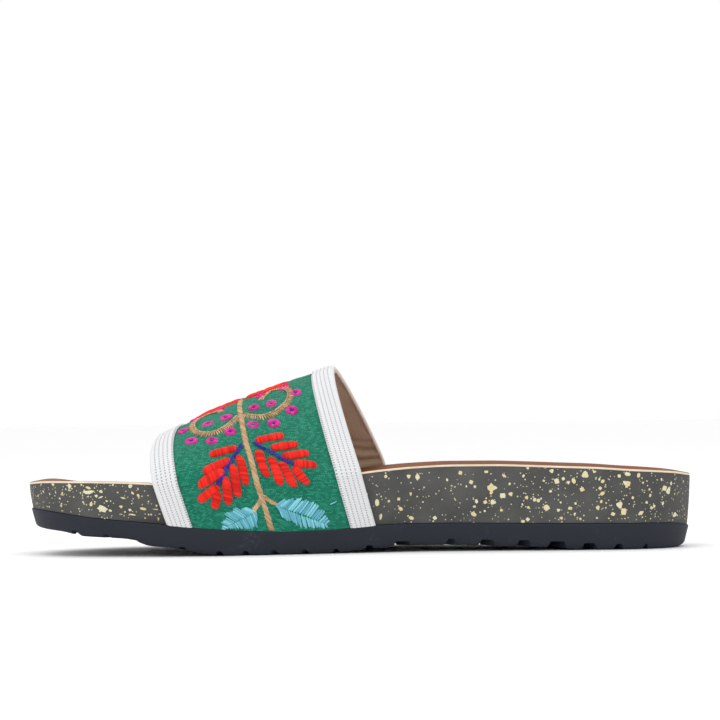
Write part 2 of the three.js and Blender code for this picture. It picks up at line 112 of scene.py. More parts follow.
LENGTH = 252.0
BALL_WIDTH = 94.0
GAP = 0.3  # between the midsole's side and the strap
JOINT_GAP = 0.15  # between outsole and midsole
FLARE = 1.2  # the midsole's side leans out towards the rim by this
AROUND = 320  # points round the outline
TOE_SPINE, HEEL_SPINE = 34, 31  # the middle line that the rings draw in to ends this far from the tips
LEDGE = 0.5  # the outsole stands out from the midsole's foot by this
SHELF = 2.8  # and by this much more where it carries the strap
CORNER = 3.2  # width of the rounded corner between tread and side
UPPER_EDGE = 0.5  # and of the rounding where the side meets the top
GROOVE_WAVE, GROOVE_WAVELENGTH = 3.2, 31
GROOVE_DRAFT = 1.2  # a groove's ceiling is narrower than its mouth by this on each side

SIDE_VIEW = np.array([
    # share of the length from the heel, then shares of: lift of the tread, joint of outsole and midsole,
    # rim of the footbed, depth of its dish
    (0.0, 0.1, 0.75, 0.82, 0.95), (0.03, 0.02, 0.885, 0.857, 0.97), (0.055, 0.0, 0.915, 0.873, 1.0),
    (0.1, 0.0, 0.93, 0.894, 1.0), (0.15, 0.0, 0.943, 0.921, 0.98), (0.2, 0.07, 0.953, 0.936, 0.94),
    (0.25, 0.13, 0.968, 0.952, 0.88), (0.3, 0.17, 0.983, 0.963, 0.8), (0.36, 0.21, 1.0, 0.964, 0.7),
    (0.42, 0.22, 1.0, 0.947, 0.6), (0.47, 0.17, 0.967, 0.917, 0.5), (0.51, 0.08, 0.895, 0.883, 0.43),
    (0.545, 0.0, 0.846, 0.862, 0.38), (0.6, 0.0, 0.822, 0.84, 0.32), (0.65, 0.0, 0.853, 0.822, 0.28),
    (0.7, 0.0, 0.92, 0.803, 0.26), (0.74, 0.11, 0.99, 0.797, 0.25), (0.78, 0.3, 1.09, 0.8, 0.25),
    (0.81, 0.36, 1.165, 0.811, 0.25), (0.845, 0.6, 1.24, 0.825, 0.25), (0.88, 0.65, 1.315, 0.835, 0.24),
    (0.91, 0.69, 1.4, 0.841, 0.22), (0.945, 0.85, 1.52, 0.845, 0.18), (0.97, 0.91, 1.6, 0.836, 0.14),
    (1.0, 1.0, 1.66, 0.805, 0.1),
]) * (1, 11, 10.7, 34, 8.5)
TOP_VIEW = np.array([
    # share of the length from the heel, half width, middle of the width (as shares of BALL_WIDTH)
    (0.0, 0.33, 0.0), (0.14, 0.335, 0.0), (0.22, 0.34, 0.005), (0.3, 0.341, 0.019), (0.38, 0.345, 0.033),
    (0.46, 0.364, 0.038), (0.54, 0.406, 0.036), (0.61, 0.457, 0.03), (0.67, 0.487, 0.021),
    (0.72, 0.5, 0.012), (0.77, 0.497, 0.003), (0.82, 0.487, -0.009), (0.9, 0.483, -0.032),
    (1.0, 0.485, -0.08),
])
GROOVES = [
    # share of the length from the heel, width at the mouth, depth
    (0.082, 3.4, 2.0), (0.128, 4.2, 2.2), (0.172, 6.2, 2.4), (0.22, 7.4, 2.4), (0.269, 5.8, 2.4),
    (0.322, 6.6, 2.3), (0.375, 4.6, 2.4), (0.45, 7.6, 1.9), (0.5, 4.2, 1.7), (0.547, 3.6, 1.8),
    (0.585, 3.6, 1.8), (0.622, 3.6, 1.8), (0.66, 3.6, 1.8), (0.697, 3.8, 1.8), (0.752, 4.4, 1.8),
    (0.826, 4.6, 1.6), (0.87, 3.6, 1.4), (0.928, 4.4, 1.4),
]


def on_curve(table, column, at):
    """A table's column at the given keys, on a smooth curve that never overshoots its rows."""
    keys, values = table[:, 0], table[:, column]
    slope = np.diff(values) / np.diff(keys)
    before, after = slope[:-1], slope[1:]
    same_way = before * after > 0
    inner = np.where(same_way, 2 * before * after / np.where(same_way, before + after, 1), 0)
    tangent = np.concatenate([slope[:1], inner, slope[-1:]])
    at = np.clip(at, keys[0], keys[-1])
    row = np.clip(np.searchsorted(keys, at, side="right") - 1, 0, len(keys) - 2)
    width = keys[row + 1] - keys[row]
    t = (at - keys[row]) / width
    held = values[row] * (2 * t**3 - 3 * t**2 + 1) + values[row + 1] * (3 * t**2 - 2 * t**3)
    return held + width * (tangent[row] * (t**3 - 2 * t**2 + t) + tangent[row + 1] * (t**3 - t**2))


def share_at(x):
    return 0.5 - x / LENGTH


def tread_height(share):
    return on_curve(SIDE_VIEW, 1, share)


def joint_height(share):
    return on_curve(SIDE_VIEW, 2, share)


def rim_height(share):
    return on_curve(SIDE_VIEW, 3, share)


def half_width(share):
    heel = np.clip(1 - share / 0.125, 0, 1)
    toe = np.clip(1 - (1 - share) / 0.22, 0, 1)
    return BALL_WIDTH * on_curve(TOP_VIEW, 1, share) * (1 - heel**2) ** 0.5 * (1 - toe**2.2) ** (1 / 2.2)


def middle_of_width(share):
    return BALL_WIDTH * on_curve(TOP_VIEW, 2, share)


def rim_edge(share, side):
    """The rim's edge in the top view. side is -1 at the big toe and 1 at the little toe."""
    share = np.clip(share, 0, 1)
    return middle_of_width(share) + side * half_width(share)


along_edge = np.linspace(0, 1, 4001)
edge_middle = (rim_edge(along_edge, -1).min() + rim_edge(along_edge, 1).max()) / 2
lowest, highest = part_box("insole")
SIDEWAYS = (lowest.y + highest.y) * 500 - edge_middle


def in_metres(points):
    return (np.asarray(points, float) + (0, SIDEWAYS, 0)) * 0.001


def smoothstep(value, low, high):
    t = np.clip((value - low) / (high - low), 0, 1)
    return t * t * (3 - 2 * t)


turns = np.linspace(0, 2 * math.pi, AROUND, endpoint=False)
outline_share = (1 - np.cos(turns)) / 2
outline_side = np.where(turns < math.pi, 1, -1)
outline_xy = np.stack([(0.5 - outline_share) * LENGTH, rim_edge(outline_share, outline_side)], 1)
ahead = np.roll(outline_xy, -1, 0) - np.roll(outline_xy, 1, 0)
outline_normal = np.stack([ahead[:, 1], -ahead[:, 0]], 1)
outline_normal /= np.linalg.norm(outline_normal, axis=1, keepdims=True)


def sole_ring(outwards, inwards_share, height):
    """A ring of points over the outline moved outwards, then drawn in towards the middle line by a share."""
    rim = outline_xy + outline_normal * np.reshape(outwards, (-1, 1))
    spine_x = np.clip(outline_xy[:, 0], -LENGTH / 2 + TOE_SPINE, LENGTH / 2 - HEEL_SPINE)
    spine = np.stack([spine_x, middle_of_width(share_at(spine_x))], 1)
    ring = rim + (spine - rim) * inwards_share
    share = share_at(ring[:, 0])
    half = np.maximum(half_width(np.clip(share, 0, 1)), 1)
    across = np.clip((ring[:, 1] - middle_of_width(share)) / half, -1, 1)
    return np.column_stack([ring, height(share, across)])


def drawn_up(name, rings):
    """A closed body from one circle, whose edge is extruded from each ring of points to the next."""
    bpy.ops.object.select_all(action="DESELECT")
    bpy.ops.mesh.primitive_circle_add(vertices=len(rings[0]), radius=0.05)
    body = bpy.context.active_object
    body.name = body.data.name = name
    body.data.attributes.new("place", "INT", "POINT").data.foreach_set("value", np.arange(len(rings[0])))
    bpy.ops.object.mode_set(mode="EDIT")
    for number, ring in enumerate(rings):
        if number:
            bpy.ops.mesh.extrude_region_move()
        mesh = bmesh.from_edit_mesh(body.data)
        place = mesh.verts.layers.int["place"]
        points = in_metres(ring)
        for vertex in mesh.verts:
            if vertex.select:
                vertex.co = points[vertex[place]]
        bmesh.update_edit_mesh(body.data)
    bpy.ops.mesh.select_all(action="SELECT")
    bpy.ops.mesh.remove_doubles(threshold=0.00001)
    bpy.ops.mesh.normals_make_consistent(inside=False)
    bpy.ops.object.mode_set(mode="OBJECT")
    body.data.attributes.remove(body.data.attributes["place"])
    return body


def finish_piece(body, angle=35):
    """Smooth faces, and a ride on the slipper's one body."""
    bpy.ops.object.select_all(action="DESELECT")
    body.select_set(True)
    bpy.context.view_layer.objects.active = body
    bpy.ops.object.shade_smooth_by_angle(angle=math.radians(angle))
    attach(body, "root")


carries = np.zeros(AROUND)
for side in (-1, 1):
    # the strap lies askew, so it reaches the sole further forward on the big-toe side
    rear = 0.4535 - side * 0.0263
    front = 0.769 - side * 0.0263
    risen = smoothstep(outline_share, rear - 0.075, rear)
    still_up = 1 - smoothstep(outline_share, front, front + 0.07)
    carries = np.where(outline_side == side, risen * still_up, carries)
shelf_edge = LEDGE - FLARE + carries * SHELF

DRAW_IN = [1, 0.9, 0.78, 0.66, 0.55, 0.45, 0.36, 0.28, 0.21, 0.15, 0.1, 0.06, 0.03, 0.01]
OUTSOLE_SIDE = [
    # distance inside the edge, share of the height
    (CORNER, 0.0), (2.6, 0.015), (2.0, 0.06), (1.55, 0.13), (1.25, 0.25), (0.8, 0.5), (0.35, 0.74),
    (0.1, 0.88), (0.0, 0.94), (0.12, 0.98), (UPPER_EDGE, 1.0),
]


def outsole_wall(share_up):
    return lambda share, across: tread_height(share) + (joint_height(share) - tread_height(share)) * share_up


rings = [sole_ring(shelf_edge - CORNER, inwards, outsole_wall(0)) for inwards in DRAW_IN]
rings += [sole_ring(shelf_edge - inside, 0, outsole_wall(up)) for inside, up in OUTSOLE_SIDE]
rings += [sole_ring(shelf_edge - UPPER_EDGE, inwards, outsole_wall(1)) for inwards in DRAW_IN[::-1]]
outsole = drawn_up("outsole_tread", rings)

cutters = []
for share, mouth, depth in GROOVES:
    bpy.ops.object.select_all(action="DESELECT")
    bpy.ops.mesh.primitive_grid_add(x_subdivisions=1, y_subdivisions=56, size=1)
    cutter = bpy.context.active_object
    points = np.zeros(len(cutter.data.vertices) * 3)
    cutter.data.vertices.foreach_get("co", points)
    points = points.reshape(-1, 3)
    y = points[:, 1] * BALL_WIDTH * 1.24
    way = np.sign(points[:, 0])
    wave = (0.5 - share) * LENGTH + GROOVE_WAVE * np.cos(2 * math.pi * y / GROOVE_WAVELENGTH)
    lift = tread_height(share)
    half_ceiling = mouth / 2 - GROOVE_DRAFT
    ceiling = np.column_stack([wave + way * half_ceiling, y, np.full(len(y), lift + depth)])
    half_below = mouth / 2 + 1.5 * GROOVE_DRAFT  # the cutter starts well below the tread
    mouth_line = np.column_stack([wave + way * half_below, y, np.full(len(y), lift - 1.5 * depth)])
    cutter.data.vertices.foreach_set("co", in_metres(mouth_line).ravel())
    bpy.ops.object.mode_set(mode="EDIT")
    bpy.ops.mesh.extrude_region_move()
    mesh = bmesh.from_edit_mesh(cutter.data)
    risen = [v for v in mesh.verts if v.select]
    for vertex, point in zip(risen, in_metres(ceiling)):
        vertex.co = point
    bmesh.update_edit_mesh(cutter.data)
    bpy.ops.mesh.select_all(action="SELECT")
    bpy.ops.mesh.normals_make_consistent(inside=False)
    bpy.ops.object.mode_set(mode="OBJECT")
    cutters.append(cutter)
for cutter in cutters:
    cutter.select_set(True)
bpy.context.view_layer.objects.active = cutters[0]
bpy.ops.object.join()
cut = outsole.modifiers.new("grooves", "BOOLEAN")
cut.object = cutters[0]
cut.operation = "DIFFERENCE"
cut.solver = "EXACT"
bpy.context.view_layer.objects.active = outsole
bpy.ops.object.modifier_apply(modifier="grooves")
bpy.data.objects.remove(cutters[0])


def add_node(tree, kind, links=None, **settings):
    """A node with its settings, and its inputs set to plain values or linked to other nodes' outputs."""
    node = tree.nodes.new(kind)
    for key, value in settings.items():
        setattr(node, key, value)
    for socket, value in (links or {}).items():
        if isinstance(value, bpy.types.NodeSocket):
            tree.links.new(value, node.inputs[socket])
        else:
            node.inputs[socket].default_value = value
    return node


def math_node(tree, operation, first, second=0.0, clamp=False):
    links = {0: first, 1: second}
    return add_node(tree, "ShaderNodeMath", links, operation=operation, use_clamp=clamp).outputs[0]


def ranged(tree, value, from_low, from_high, to_low, to_high):
    """A value with one range turned into another, and held at its ends."""
    links = {"Value": value, "From Min": from_low, "From Max": from_high,
             "To Min": to_low, "To Max": to_high}
    return add_node(tree, "ShaderNodeMapRange", links).outputs[0]


def color_mix(tree, share, first, second):
    links = {"Factor": share, "A": first, "B": second}
    mix = tree.nodes.new("ShaderNodeMix")
    mix.data_type = "RGBA"
    for socket, value in links.items():
        slot = next(s for s in mix.inputs if s.name == socket and (socket == "Factor" or s.type == "RGBA"))
        if isinstance(value, bpy.types.NodeSocket):
            tree.links.new(value, slot)
        else:
            slot.default_value = value
    return next(s for s in mix.outputs if s.type == "RGBA")


def grain_group():
    """Fine grain: pebbles of a moulded or embossed skin, broad cloudy patches, and sparse scuffs."""
    tree = bpy.data.node_groups.new("fine grain", "ShaderNodeTree")
    for name, kind in (("Vector", "NodeSocketVector"), ("Pebble Scale", "NodeSocketFloat"),
                       ("Cloud Scale", "NodeSocketFloat")):
        tree.interface.new_socket(name, in_out="INPUT", socket_type=kind)
    for name in ("Pebbles", "Clouds", "Scuffs"):
        tree.interface.new_socket(name, in_out="OUTPUT", socket_type="NodeSocketFloat")
    given = tree.nodes.new("NodeGroupInput").outputs
    result = tree.nodes.new("NodeGroupOutput")
    cells = add_node(tree, "ShaderNodeTexVoronoi",
                     {"Vector": given["Vector"], "Scale": given["Pebble Scale"]}, feature="SMOOTH_F1")
    cells.inputs["Smoothness"].default_value = 0.4
    fine = add_node(tree, "ShaderNodeTexNoise",
                    {"Vector": given["Vector"], "Scale": given["Pebble Scale"], "Detail": 3.0})
    pebbles = math_node(tree, "SUBTRACT", fine.outputs[0], cells.outputs["Distance"])
    tree.links.new(math_node(tree, "ADD", pebbles, 0.5, True), result.inputs["Pebbles"])
    clouds = add_node(tree, "ShaderNodeTexNoise",
                      {"Vector": given["Vector"], "Scale": given["Cloud Scale"], "Detail": 4.0})
    tree.links.new(clouds.outputs[0], result.inputs["Clouds"])
    streaks = add_node(tree, "ShaderNodeTexNoise",
                       {"Vector": given["Vector"], "Scale": 900.0, "Detail": 5.0, "Roughness": 0.7})
    worn = math_node(tree, "MULTIPLY", streaks.outputs[0], clouds.outputs[0])
    tree.links.new(ranged(tree, worn, 0.33, 0.46, 0.0, 1.0), result.inputs["Scuffs"])
    return tree


FINE_GRAIN = grain_group()


def grained(finish, pebble_scale, cloud_scale):
    """The fine grain in a material, on Object coordinates: its pebbles, clouds and scuffs."""
    tree = finish.node_tree
    place = tree.nodes.new("ShaderNodeTexCoord")
    grain = tree.nodes.new("ShaderNodeGroup")
    grain.node_tree = FINE_GRAIN
    tree.links.new(place.outputs["Object"], grain.inputs["Vector"])
    grain.inputs["Pebble Scale"].default_value = pebble_scale
    grain.inputs["Cloud Scale"].default_value = cloud_scale
    return grain.outputs


def set_bump(finish, height, distance, strength=1.0):
    tree = finish.node_tree
    bump = add_node(tree, "ShaderNodeBump", {"Height": height, "Distance": distance, "Strength": strength})
    tree.links.new(bump.outputs[0], tree.nodes["Principled BSDF"].inputs["Normal"])


def feed(finish, socket, value):
    tree = finish.node_tree
    tree.links.new(value, tree.nodes["Principled BSDF"].inputs[socket])


def two_colored(finish, share, first, second):
    """Feeds the base colour with a mix of two colours, by a share that changes over the surface."""
    feed(finish, "Base Color", color_mix(finish.node_tree, share, in_linear(first), in_linear(second)))


rubber = principled("dark foam rubber", (31, 35, 44), 0.7, Specular_IOR_Level=0.3)
grain = grained(rubber, 2600.0, 60.0)
tree = rubber.node_tree
cloudy = color_mix(tree, grain["Clouds"], in_linear((25, 29, 37)), in_linear((39, 43, 53)))
worn = math_node(tree, "MULTIPLY", grain["Scuffs"], 0.25)
feed(rubber, "Base Color", color_mix(tree, worn, cloudy, in_linear((96, 100, 110))))
feed(rubber, "Roughness", ranged(tree, grain["Clouds"], 0.0, 1.0, 0.6, 0.78))
set_bump(rubber, grain["Pebbles"], 0.00012, 0.6)
outsole.data.materials.append(rubber)
finish_piece(outsole, 32)
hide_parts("outsole")


# Midsole
# The contoured footbed block, wrapped in a matt dark film with cream specks. Only its side wall
# shows. The strap's ends are turned in under it.

RIM_LAND = 2.6  # flat width on top of the rim
END_SLOPE = 27  # run of the dish's slope at the heel and at the toe
METATARSAL_PAD, TOE_RIDGE = 2.2, 1.6
TOE_DROP = 2.7  # the toe's rim is lower by this on the little-toe side


def dish_depth(share, across):
    half = half_width(np.clip(share, 0, 1))
    from_end = np.minimum(share, 1 - share) * LENGTH
    inner = np.minimum(1, np.abs(across) * half / np.maximum(half - RIM_LAND, 0.1))
    side = np.where(half > RIM_LAND, inner, 1)
    end = np.clip(1 - (from_end - RIM_LAND) / END_SLOPE, 0, 1)
    bowl = np.maximum(0, 1 - side**3 - end**3) ** 1.25
    pad = METATARSAL_PAD * np.exp(-(((share - 0.56) / 0.06) ** 2)) * (1 - side**2) ** 2
    ridge = TOE_RIDGE * np.exp(-(((share - 0.815) / 0.028) ** 2)) * (1 - side**2) ** 2
    return on_curve(SIDE_VIEW, 4, share) * bowl - pad - ridge


def insole_top(share, across):
    sideways = np.clip(0.5 + across * half_width(np.clip(share, 0, 1)) / BALL_WIDTH, 0, 1)
    toe_part = smoothstep(share, 0.735, 0.8) * (1 - smoothstep(share, 0.93, 0.99))
    return rim_height(share) - TOE_DROP * sideways * toe_part - dish_depth(share, across)


def flare_at(up):
    return -FLARE * (1 - up) ** 1.5


INSOLE = 0.95  # the leather cover's thickness


def midsole_wall(up):
    def height(share, across):
        low = joint_height(share) + JOINT_GAP
        return low + (insole_top(share, across) - INSOLE - low) * up
    return height


rings = [sole_ring(-FLARE, inwards, midsole_wall(0)) for inwards in DRAW_IN]
rings += [sole_ring(flare_at(up), 0, midsole_wall(up)) for up in (0, 0.12, 0.25, 0.4, 0.55, 0.7, 0.85, 1.0)]
rings += [sole_ring(0, inwards, midsole_wall(1)) for inwards in DRAW_IN[::-1]]
midsole = drawn_up("midsole_block", rings)

wrap = principled("speckled wrap", (76, 76, 75), 0.8, Specular_IOR_Level=0.3)
grain = grained(wrap, 1500.0, 90.0)
tree = wrap.node_tree
cloudy = color_mix(tree, grain["Clouds"], in_linear((56, 56, 55)), in_linear((92, 92, 90)))
place = tree.nodes.new("ShaderNodeTexCoord")
speck = add_node(tree, "ShaderNodeTexVoronoi", {"Vector": place.outputs["Object"], "Scale": 850.0})
sizes = tree.nodes.new("ShaderNodeSeparateColor")
tree.links.new(speck.outputs["Color"], sizes.inputs[0])
reach = ranged(tree, sizes.outputs[0], 0.55, 1.0, 0.0, 0.3)
inside = math_node(tree, "LESS_THAN", speck.outputs["Distance"], reach)
feed(wrap, "Base Color", color_mix(tree, inside, cloudy, in_linear((190, 184, 152))))
set_bump(wrap, grain["Pebbles"], 0.0001, 0.5)
midsole.data.materials.append(wrap)
finish_piece(midsole)
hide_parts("midsole")

# Cream splashes of the wrap, a hair thick: the larger ones lie where they are seen on the big-toe
# side, and the rest is strewn, thick at the toe and the heel and thin under the strap.
SPLASHES = [
    # place along the slipper, height above the joint, half length, half height, clockwise turn in degrees
    (-101.4, 9.3, 2.33, 0.68, -12), (-96.3, 3.7, 1.94, 1.17, 10), (-115.1, 10.2, 0.68, 0.68, 0),
    (-108.6, 10.5, 0.73, 0.97, 0), (-101.4, 10.9, 0.97, 0.53, 0), (-96.6, 10.1, 0.68, 0.58, 0),
    (-85.5, 13.1, 0.73, 0.78, 0), (-84.7, 10.5, 0.53, 0.49, 0), (-100.6, 4.9, 0.68, 0.73, 0),
    (-89.2, 5.1, 0.63, 0.53, 0), (-92, 13, 0.39, 0.39, 0), (-80.9, 5, 1.07, 0.58, 0),
    (-85, 2.5, 1.26, 0.29, 0), (-96.7, 8, 0.87, 0.24, -20), (-88.3, 8.4, 0.97, 0.29, 10),
    (-103.6, 5.3, 0.39, 0.39, 0), (-99.1, 5.9, 0.34, 0.34, 0), (-111.6, 7.4, 0.44, 0.44, 0),
    (-104, 11.7, 0.39, 0.39, 0), (-120, 9.6, 0.39, 0.39, 0), (-90.3, 10.3, 0.29, 0.29, 0),
    (-75.9, 6.6, 0.39, 0.39, 0), (-76.2, 5.2, 1.07, 0.19, 0), (84.1, 18.1, 1.24, 1.28, 0),
    (73.3, 15.8, 0.85, 0.93, 0), (75.9, 16.6, 0.62, 0.66, 0), (77.8, 15.2, 0.62, 0.66, 0),
    (79.8, 15.8, 0.7, 1.17, 0), (82.9, 12.6, 0.85, 0.85, 0), (69.4, 5.7, 1.09, 0.97, 0),
    (78.4, 5.5, 0.85, 0.62, 0), (88.8, 5.6, 0.7, 0.78, 0), (90.7, 15.6, 0.78, 0.62, 0),
    (89.7, 13, 0.62, 0.66, 0), (90.5, 11, 0.93, 0.7, 0), (90.1, 8, 0.58, 0.54, 0),
    (100.1, 18.3, 1.01, 0.85, 0), (99.2, 15, 0.93, 0.78, 30), (100.4, 14.7, 0.85, 1.01, 0),
    (99.7, 13.7, 0.54, 0.62, 0), (96.9, 17.6, 0.66, 0.66, 0), (104.3, 17.8, 0.78, 0.78, 0),
    (97, 6.7, 1.17, 1.24, 0), (98.6, 4.2, 1.09, 1.4, 0), (94.5, 3.3, 0.85, 0.7, 0),
    (105.4, 3.6, 1.17, 0.7, -30), (114.6, 12.9, 1.24, 1.01, -20), (116.2, 12, 1.01, 1.55, 30),
    (117.2, 14.7, 0.62, 0.62, 0), (119.4, 3, 1.32, 0.85, -20), (108.9, 10.2, 0.54, 0.58, 0),
    (113.3, 16.2, 0.47, 0.54, 0), (102.1, 9.4, 0.54, 0.58, 0), (106, 15, 0.47, 0.43, 0),
    (87.6, 19.2, 0.66, 0.47, 0), (71.4, 19.5, 0.66, 0.66, 0), (71, 11.9, 0.5, 0.5, 0),
    (74, 4.8, 0.62, 0.58, 0), (82.2, 1.5, 0.47, 0.47, 0), (80.1, 3.4, 0.47, 0.47, 0),
    (80.4, 7.3, 0.47, 0.47, 0), (69.2, 20.9, 0.78, 0.39, 0), (6.1, 8.3, 0.96, 1.14, 0),
    (7.5, 2.9, 0.52, 1.14, 0), (9.4, 18, 0.57, 0.61, 0), (9.4, 17.9, 0.61, 0.61, 0),
    (18, 17.6, 0.74, 0.74, 0), (21.3, 17.3, 0.79, 1.22, 0), (37.4, 18.7, 0.74, 0.79, 0),
    (47.1, 19.1, 0.79, 0.52, 0), (41.4, 15.2, 0.79, 0.79, 0), (48.9, 13.1, 1.44, 1.57, 0),
    (39.6, 13.6, 0.39, 0.39, 0), (42.8, 13.5, 0.52, 0.52, 0), (55.8, 14.6, 0.48, 0.48, 0),
    (61, 17.6, 0.52, 0.52, 0), (62.7, 20.7, 0.61, 0.57, 0), (71.6, 19.5, 0.74, 0.74, 0),
    (73.5, 15.6, 0.96, 0.96, 0), (14.2, 9.2, 0.61, 0.61, 0), (14.9, 5.5, 0.79, 0.79, 0),
    (18.9, 1.9, 0.87, 0.79, 0), (43.3, 8, 0.7, 0.7, 0), (46.6, 7.7, 0.79, 0.7, 0),
    (49.5, 7.7, 1.05, 0.92, 0), (42.5, 6, 0.52, 0.52, 0), (42.2, 3.1, 0.96, 0.87, 0),
    (52.6, 4.7, 0.57, 0.57, 0), (62.1, 9.5, 0.66, 0.7, 0), (65.1, 8.7, 0.79, 0.61, 0),
    (66.5, 8.4, 0.79, 0.61, 0), (67.5, 9.1, 0.39, 0.39, 0), (69.6, 5.7, 1.14, 1.05, 0),
    (71.1, 11.9, 0.52, 0.52, 0), (60.6, 0.5, 0.79, 0.57, 0), (62.4, 1.3, 0.74, 0.7, 0),
    (60.5, 6.9, 0.39, 0.39, 0), (46.4, 4.4, 0.39, 0.39, 0), (32.4, 16.1, 0.48, 0.48, 0),
    (10.5, 8.6, 0.48, 0.48, 0), (18.7, 11.1, 0.44, 0.52, 0), (53.8, 17.6, 0.87, 0.52, 30),
    (48.9, 11.3, 0.61, 0.7, 0),
]
outline_run = np.concatenate([[0], np.cumsum(np.linalg.norm(np.diff(outline_xy, axis=0), axis=1))])
whole_run = outline_run[-1] + np.linalg.norm(outline_xy[0] - outline_xy[-1])


def wall_at(run, up_mm, proud):
    """A point of the midsole's side wall: its run along the outline from the heel, and its height above
    the wall's foot."""
    run = np.mod(run, whole_run)

    def between(column):
        return np.interp(run, np.append(outline_run, whole_run), np.append(column, column[0]))

    x, y = between(outline_xy[:, 0]), between(outline_xy[:, 1])
    share = share_at(x)
    side = np.where(run < outline_run[AROUND // 2], 1, -1)
    foot, top = joint_height(share) + JOINT_GAP, insole_top(share, side) - INSOLE
    up = np.clip(up_mm / (top - foot), 0, 1)
    out = flare_at(up) + proud
    return np.stack([x + between(outline_normal[:, 0]) * out, y + between(outline_normal[:, 1]) * out,
                     foot + up * (top - foot)], -1)


chance = np.random.default_rng(7)
near_side = outline_side < 0
blobs = []
for x, up, half_length, half_height, turn in SPLASHES:
    run = float(np.interp(x, outline_xy[near_side, 0], outline_run[near_side]))
    blobs.append((run, up, half_length, half_height, math.radians(-turn)))
for _ in range(1500):
    run = chance.uniform(0, whole_run)
    place = int(np.searchsorted(outline_run, run)) % AROUND
    share = outline_share[place]
    crowd = 0.35 + 0.65 * smoothstep(np.abs(share - 0.48), 0.12, 0.4)
    if chance.uniform() > crowd:
        continue
    size = 0.16 + 0.12 * chance.pareto(2.6)
    if outline_side[place] > 0:
        size *= 1.25
    size = min(size, 1.5)
    up = chance.uniform(0.4, float(insole_top(share, outline_side[place]) - joint_height(share)) - 1.8)
    blobs.append((run, up, size * chance.uniform(0.85, 1.2), size, chance.uniform(-0.6, 0.6)))

bpy.ops.object.select_all(action="DESELECT")
bpy.ops.mesh.primitive_uv_sphere_add(segments=10, ring_count=4, radius=1)
model = bpy.context.active_object
disc = np.array([vertex.co[:] for vertex in model.data.vertices])
disc_faces = [list(face.vertices) for face in model.data.polygons]
bpy.data.objects.remove(model)
blobs = np.array(blobs)
points_round = chance.integers(2, 5, (len(blobs), 1))
first_point = chance.uniform(0, 6.28, (len(blobs), 1))
ragged = 1 + 0.2 * np.sin(np.arctan2(disc[None, :, 1], disc[None, :, 0]) * points_round + first_point)
x, y = disc[None, :, 0] * ragged * blobs[:, 2:3], disc[None, :, 1] * ragged * blobs[:, 3:4]
turn = blobs[:, 4:5]
places = wall_at(blobs[:, :1] + x * np.cos(turn) - y * np.sin(turn),
                 blobs[:, 1:2] + x * np.sin(turn) + y * np.cos(turn), 0.02 + disc[None, :, 2] * 0.05)
mesh = bpy.data.meshes.new("wrap_specks")
mesh.from_pydata(in_metres(places.reshape(-1, 3)).tolist(), [],
                 [[v + n * len(disc) for v in face] for n in range(len(blobs)) for face in disc_faces])
tints = np.repeat(chance.uniform(0, 1, len(blobs)), len(disc))
mesh.attributes.new("tint", "FLOAT", "POINT").data.foreach_set("value", tints)
specks = bpy.data.objects.new("wrap_specks", mesh)
bpy.context.scene.collection.objects.link(specks)
bpy.context.view_layer.objects.active = specks
specks.select_set(True)
bpy.ops.object.mode_set(mode="EDIT")
bpy.ops.mesh.select_all(action="SELECT")
bpy.ops.mesh.normals_make_consistent(inside=False)
bpy.ops.object.mode_set(mode="OBJECT")
cream = principled("cream splashes", (216, 212, 168), 0.7)
tree = cream.node_tree
tint = add_node(tree, "ShaderNodeAttribute", attribute_name="tint")
grain = grained(cream, 1800.0, 700.0)
tinted = color_mix(tree, tint.outputs["Fac"], in_linear((222, 222, 190)), in_linear((222, 204, 150)))
blotch = math_node(tree, "MULTIPLY", grain["Clouds"], 0.45)
feed(cream, "Base Color", color_mix(tree, blotch, tinted, in_linear((176, 158, 112))))
specks.data.materials.append(cream)
finish_piece(specks, 60)


# Insole
# A leather cover glued into the footbed's dish. Its cut edge shows pale all round the rim.

INSOLE_SIDE = [
    # distance inside the outline, share of the thickness
    (0.3, 0.0), (0.06, 0.12), (0.0, 0.35), (0.0, 0.7), (0.1, 0.88), (0.35, 1.0),
]


def insole_wall(up):
    return lambda share, across: insole_top(share, across) - INSOLE * (1 - up)


underside, face = INSOLE_SIDE[0][0], INSOLE_SIDE[-1][0]
rings = [sole_ring(-underside, inwards, insole_wall(0)) for inwards in DRAW_IN]
rings += [sole_ring(-inside, 0, insole_wall(up)) for inside, up in INSOLE_SIDE]
rings += [sole_ring(-face, inwards, insole_wall(1)) for inwards in DRAW_IN[::-1]]
insole = drawn_up("insole_cover", rings)

leather = principled("brown leather", (124, 74, 48), 0.65, Specular_IOR_Level=0.3)
grain = grained(leather, 1400.0, 45.0)
two_colored(leather, grain["Clouds"], (106, 62, 38), (140, 88, 58))
set_bump(leather, grain["Pebbles"], 0.00015, 0.6)
cut_edge = principled("pale cut edge", (222, 205, 178), 0.8)
grain = grained(cut_edge, 2400.0, 200.0)
two_colored(cut_edge, grain["Clouds"], (205, 184, 152), (238, 226, 206))
insole.data.materials.append(leather)
insole.data.materials.append(cut_edge)
for face in insole.data.polygons:
    if abs(face.normal.z) < 0.72:
        middle = face.center * 1000
        share = share_at(middle.x)
        across = (middle.y - SIDEWAYS - middle_of_width(share)) / max(half_width(share), 1)
        if abs(across) > 0.98 or not 0.004 < share < 0.996:
            face.material_index = 1
finish_piece(insole)
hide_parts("insole")


# Strap
# One wide strap over the instep: a woven green face and a brown lining with thin padding between
# them. Its ends go down the midsole's side and in at the joint above the outsole.

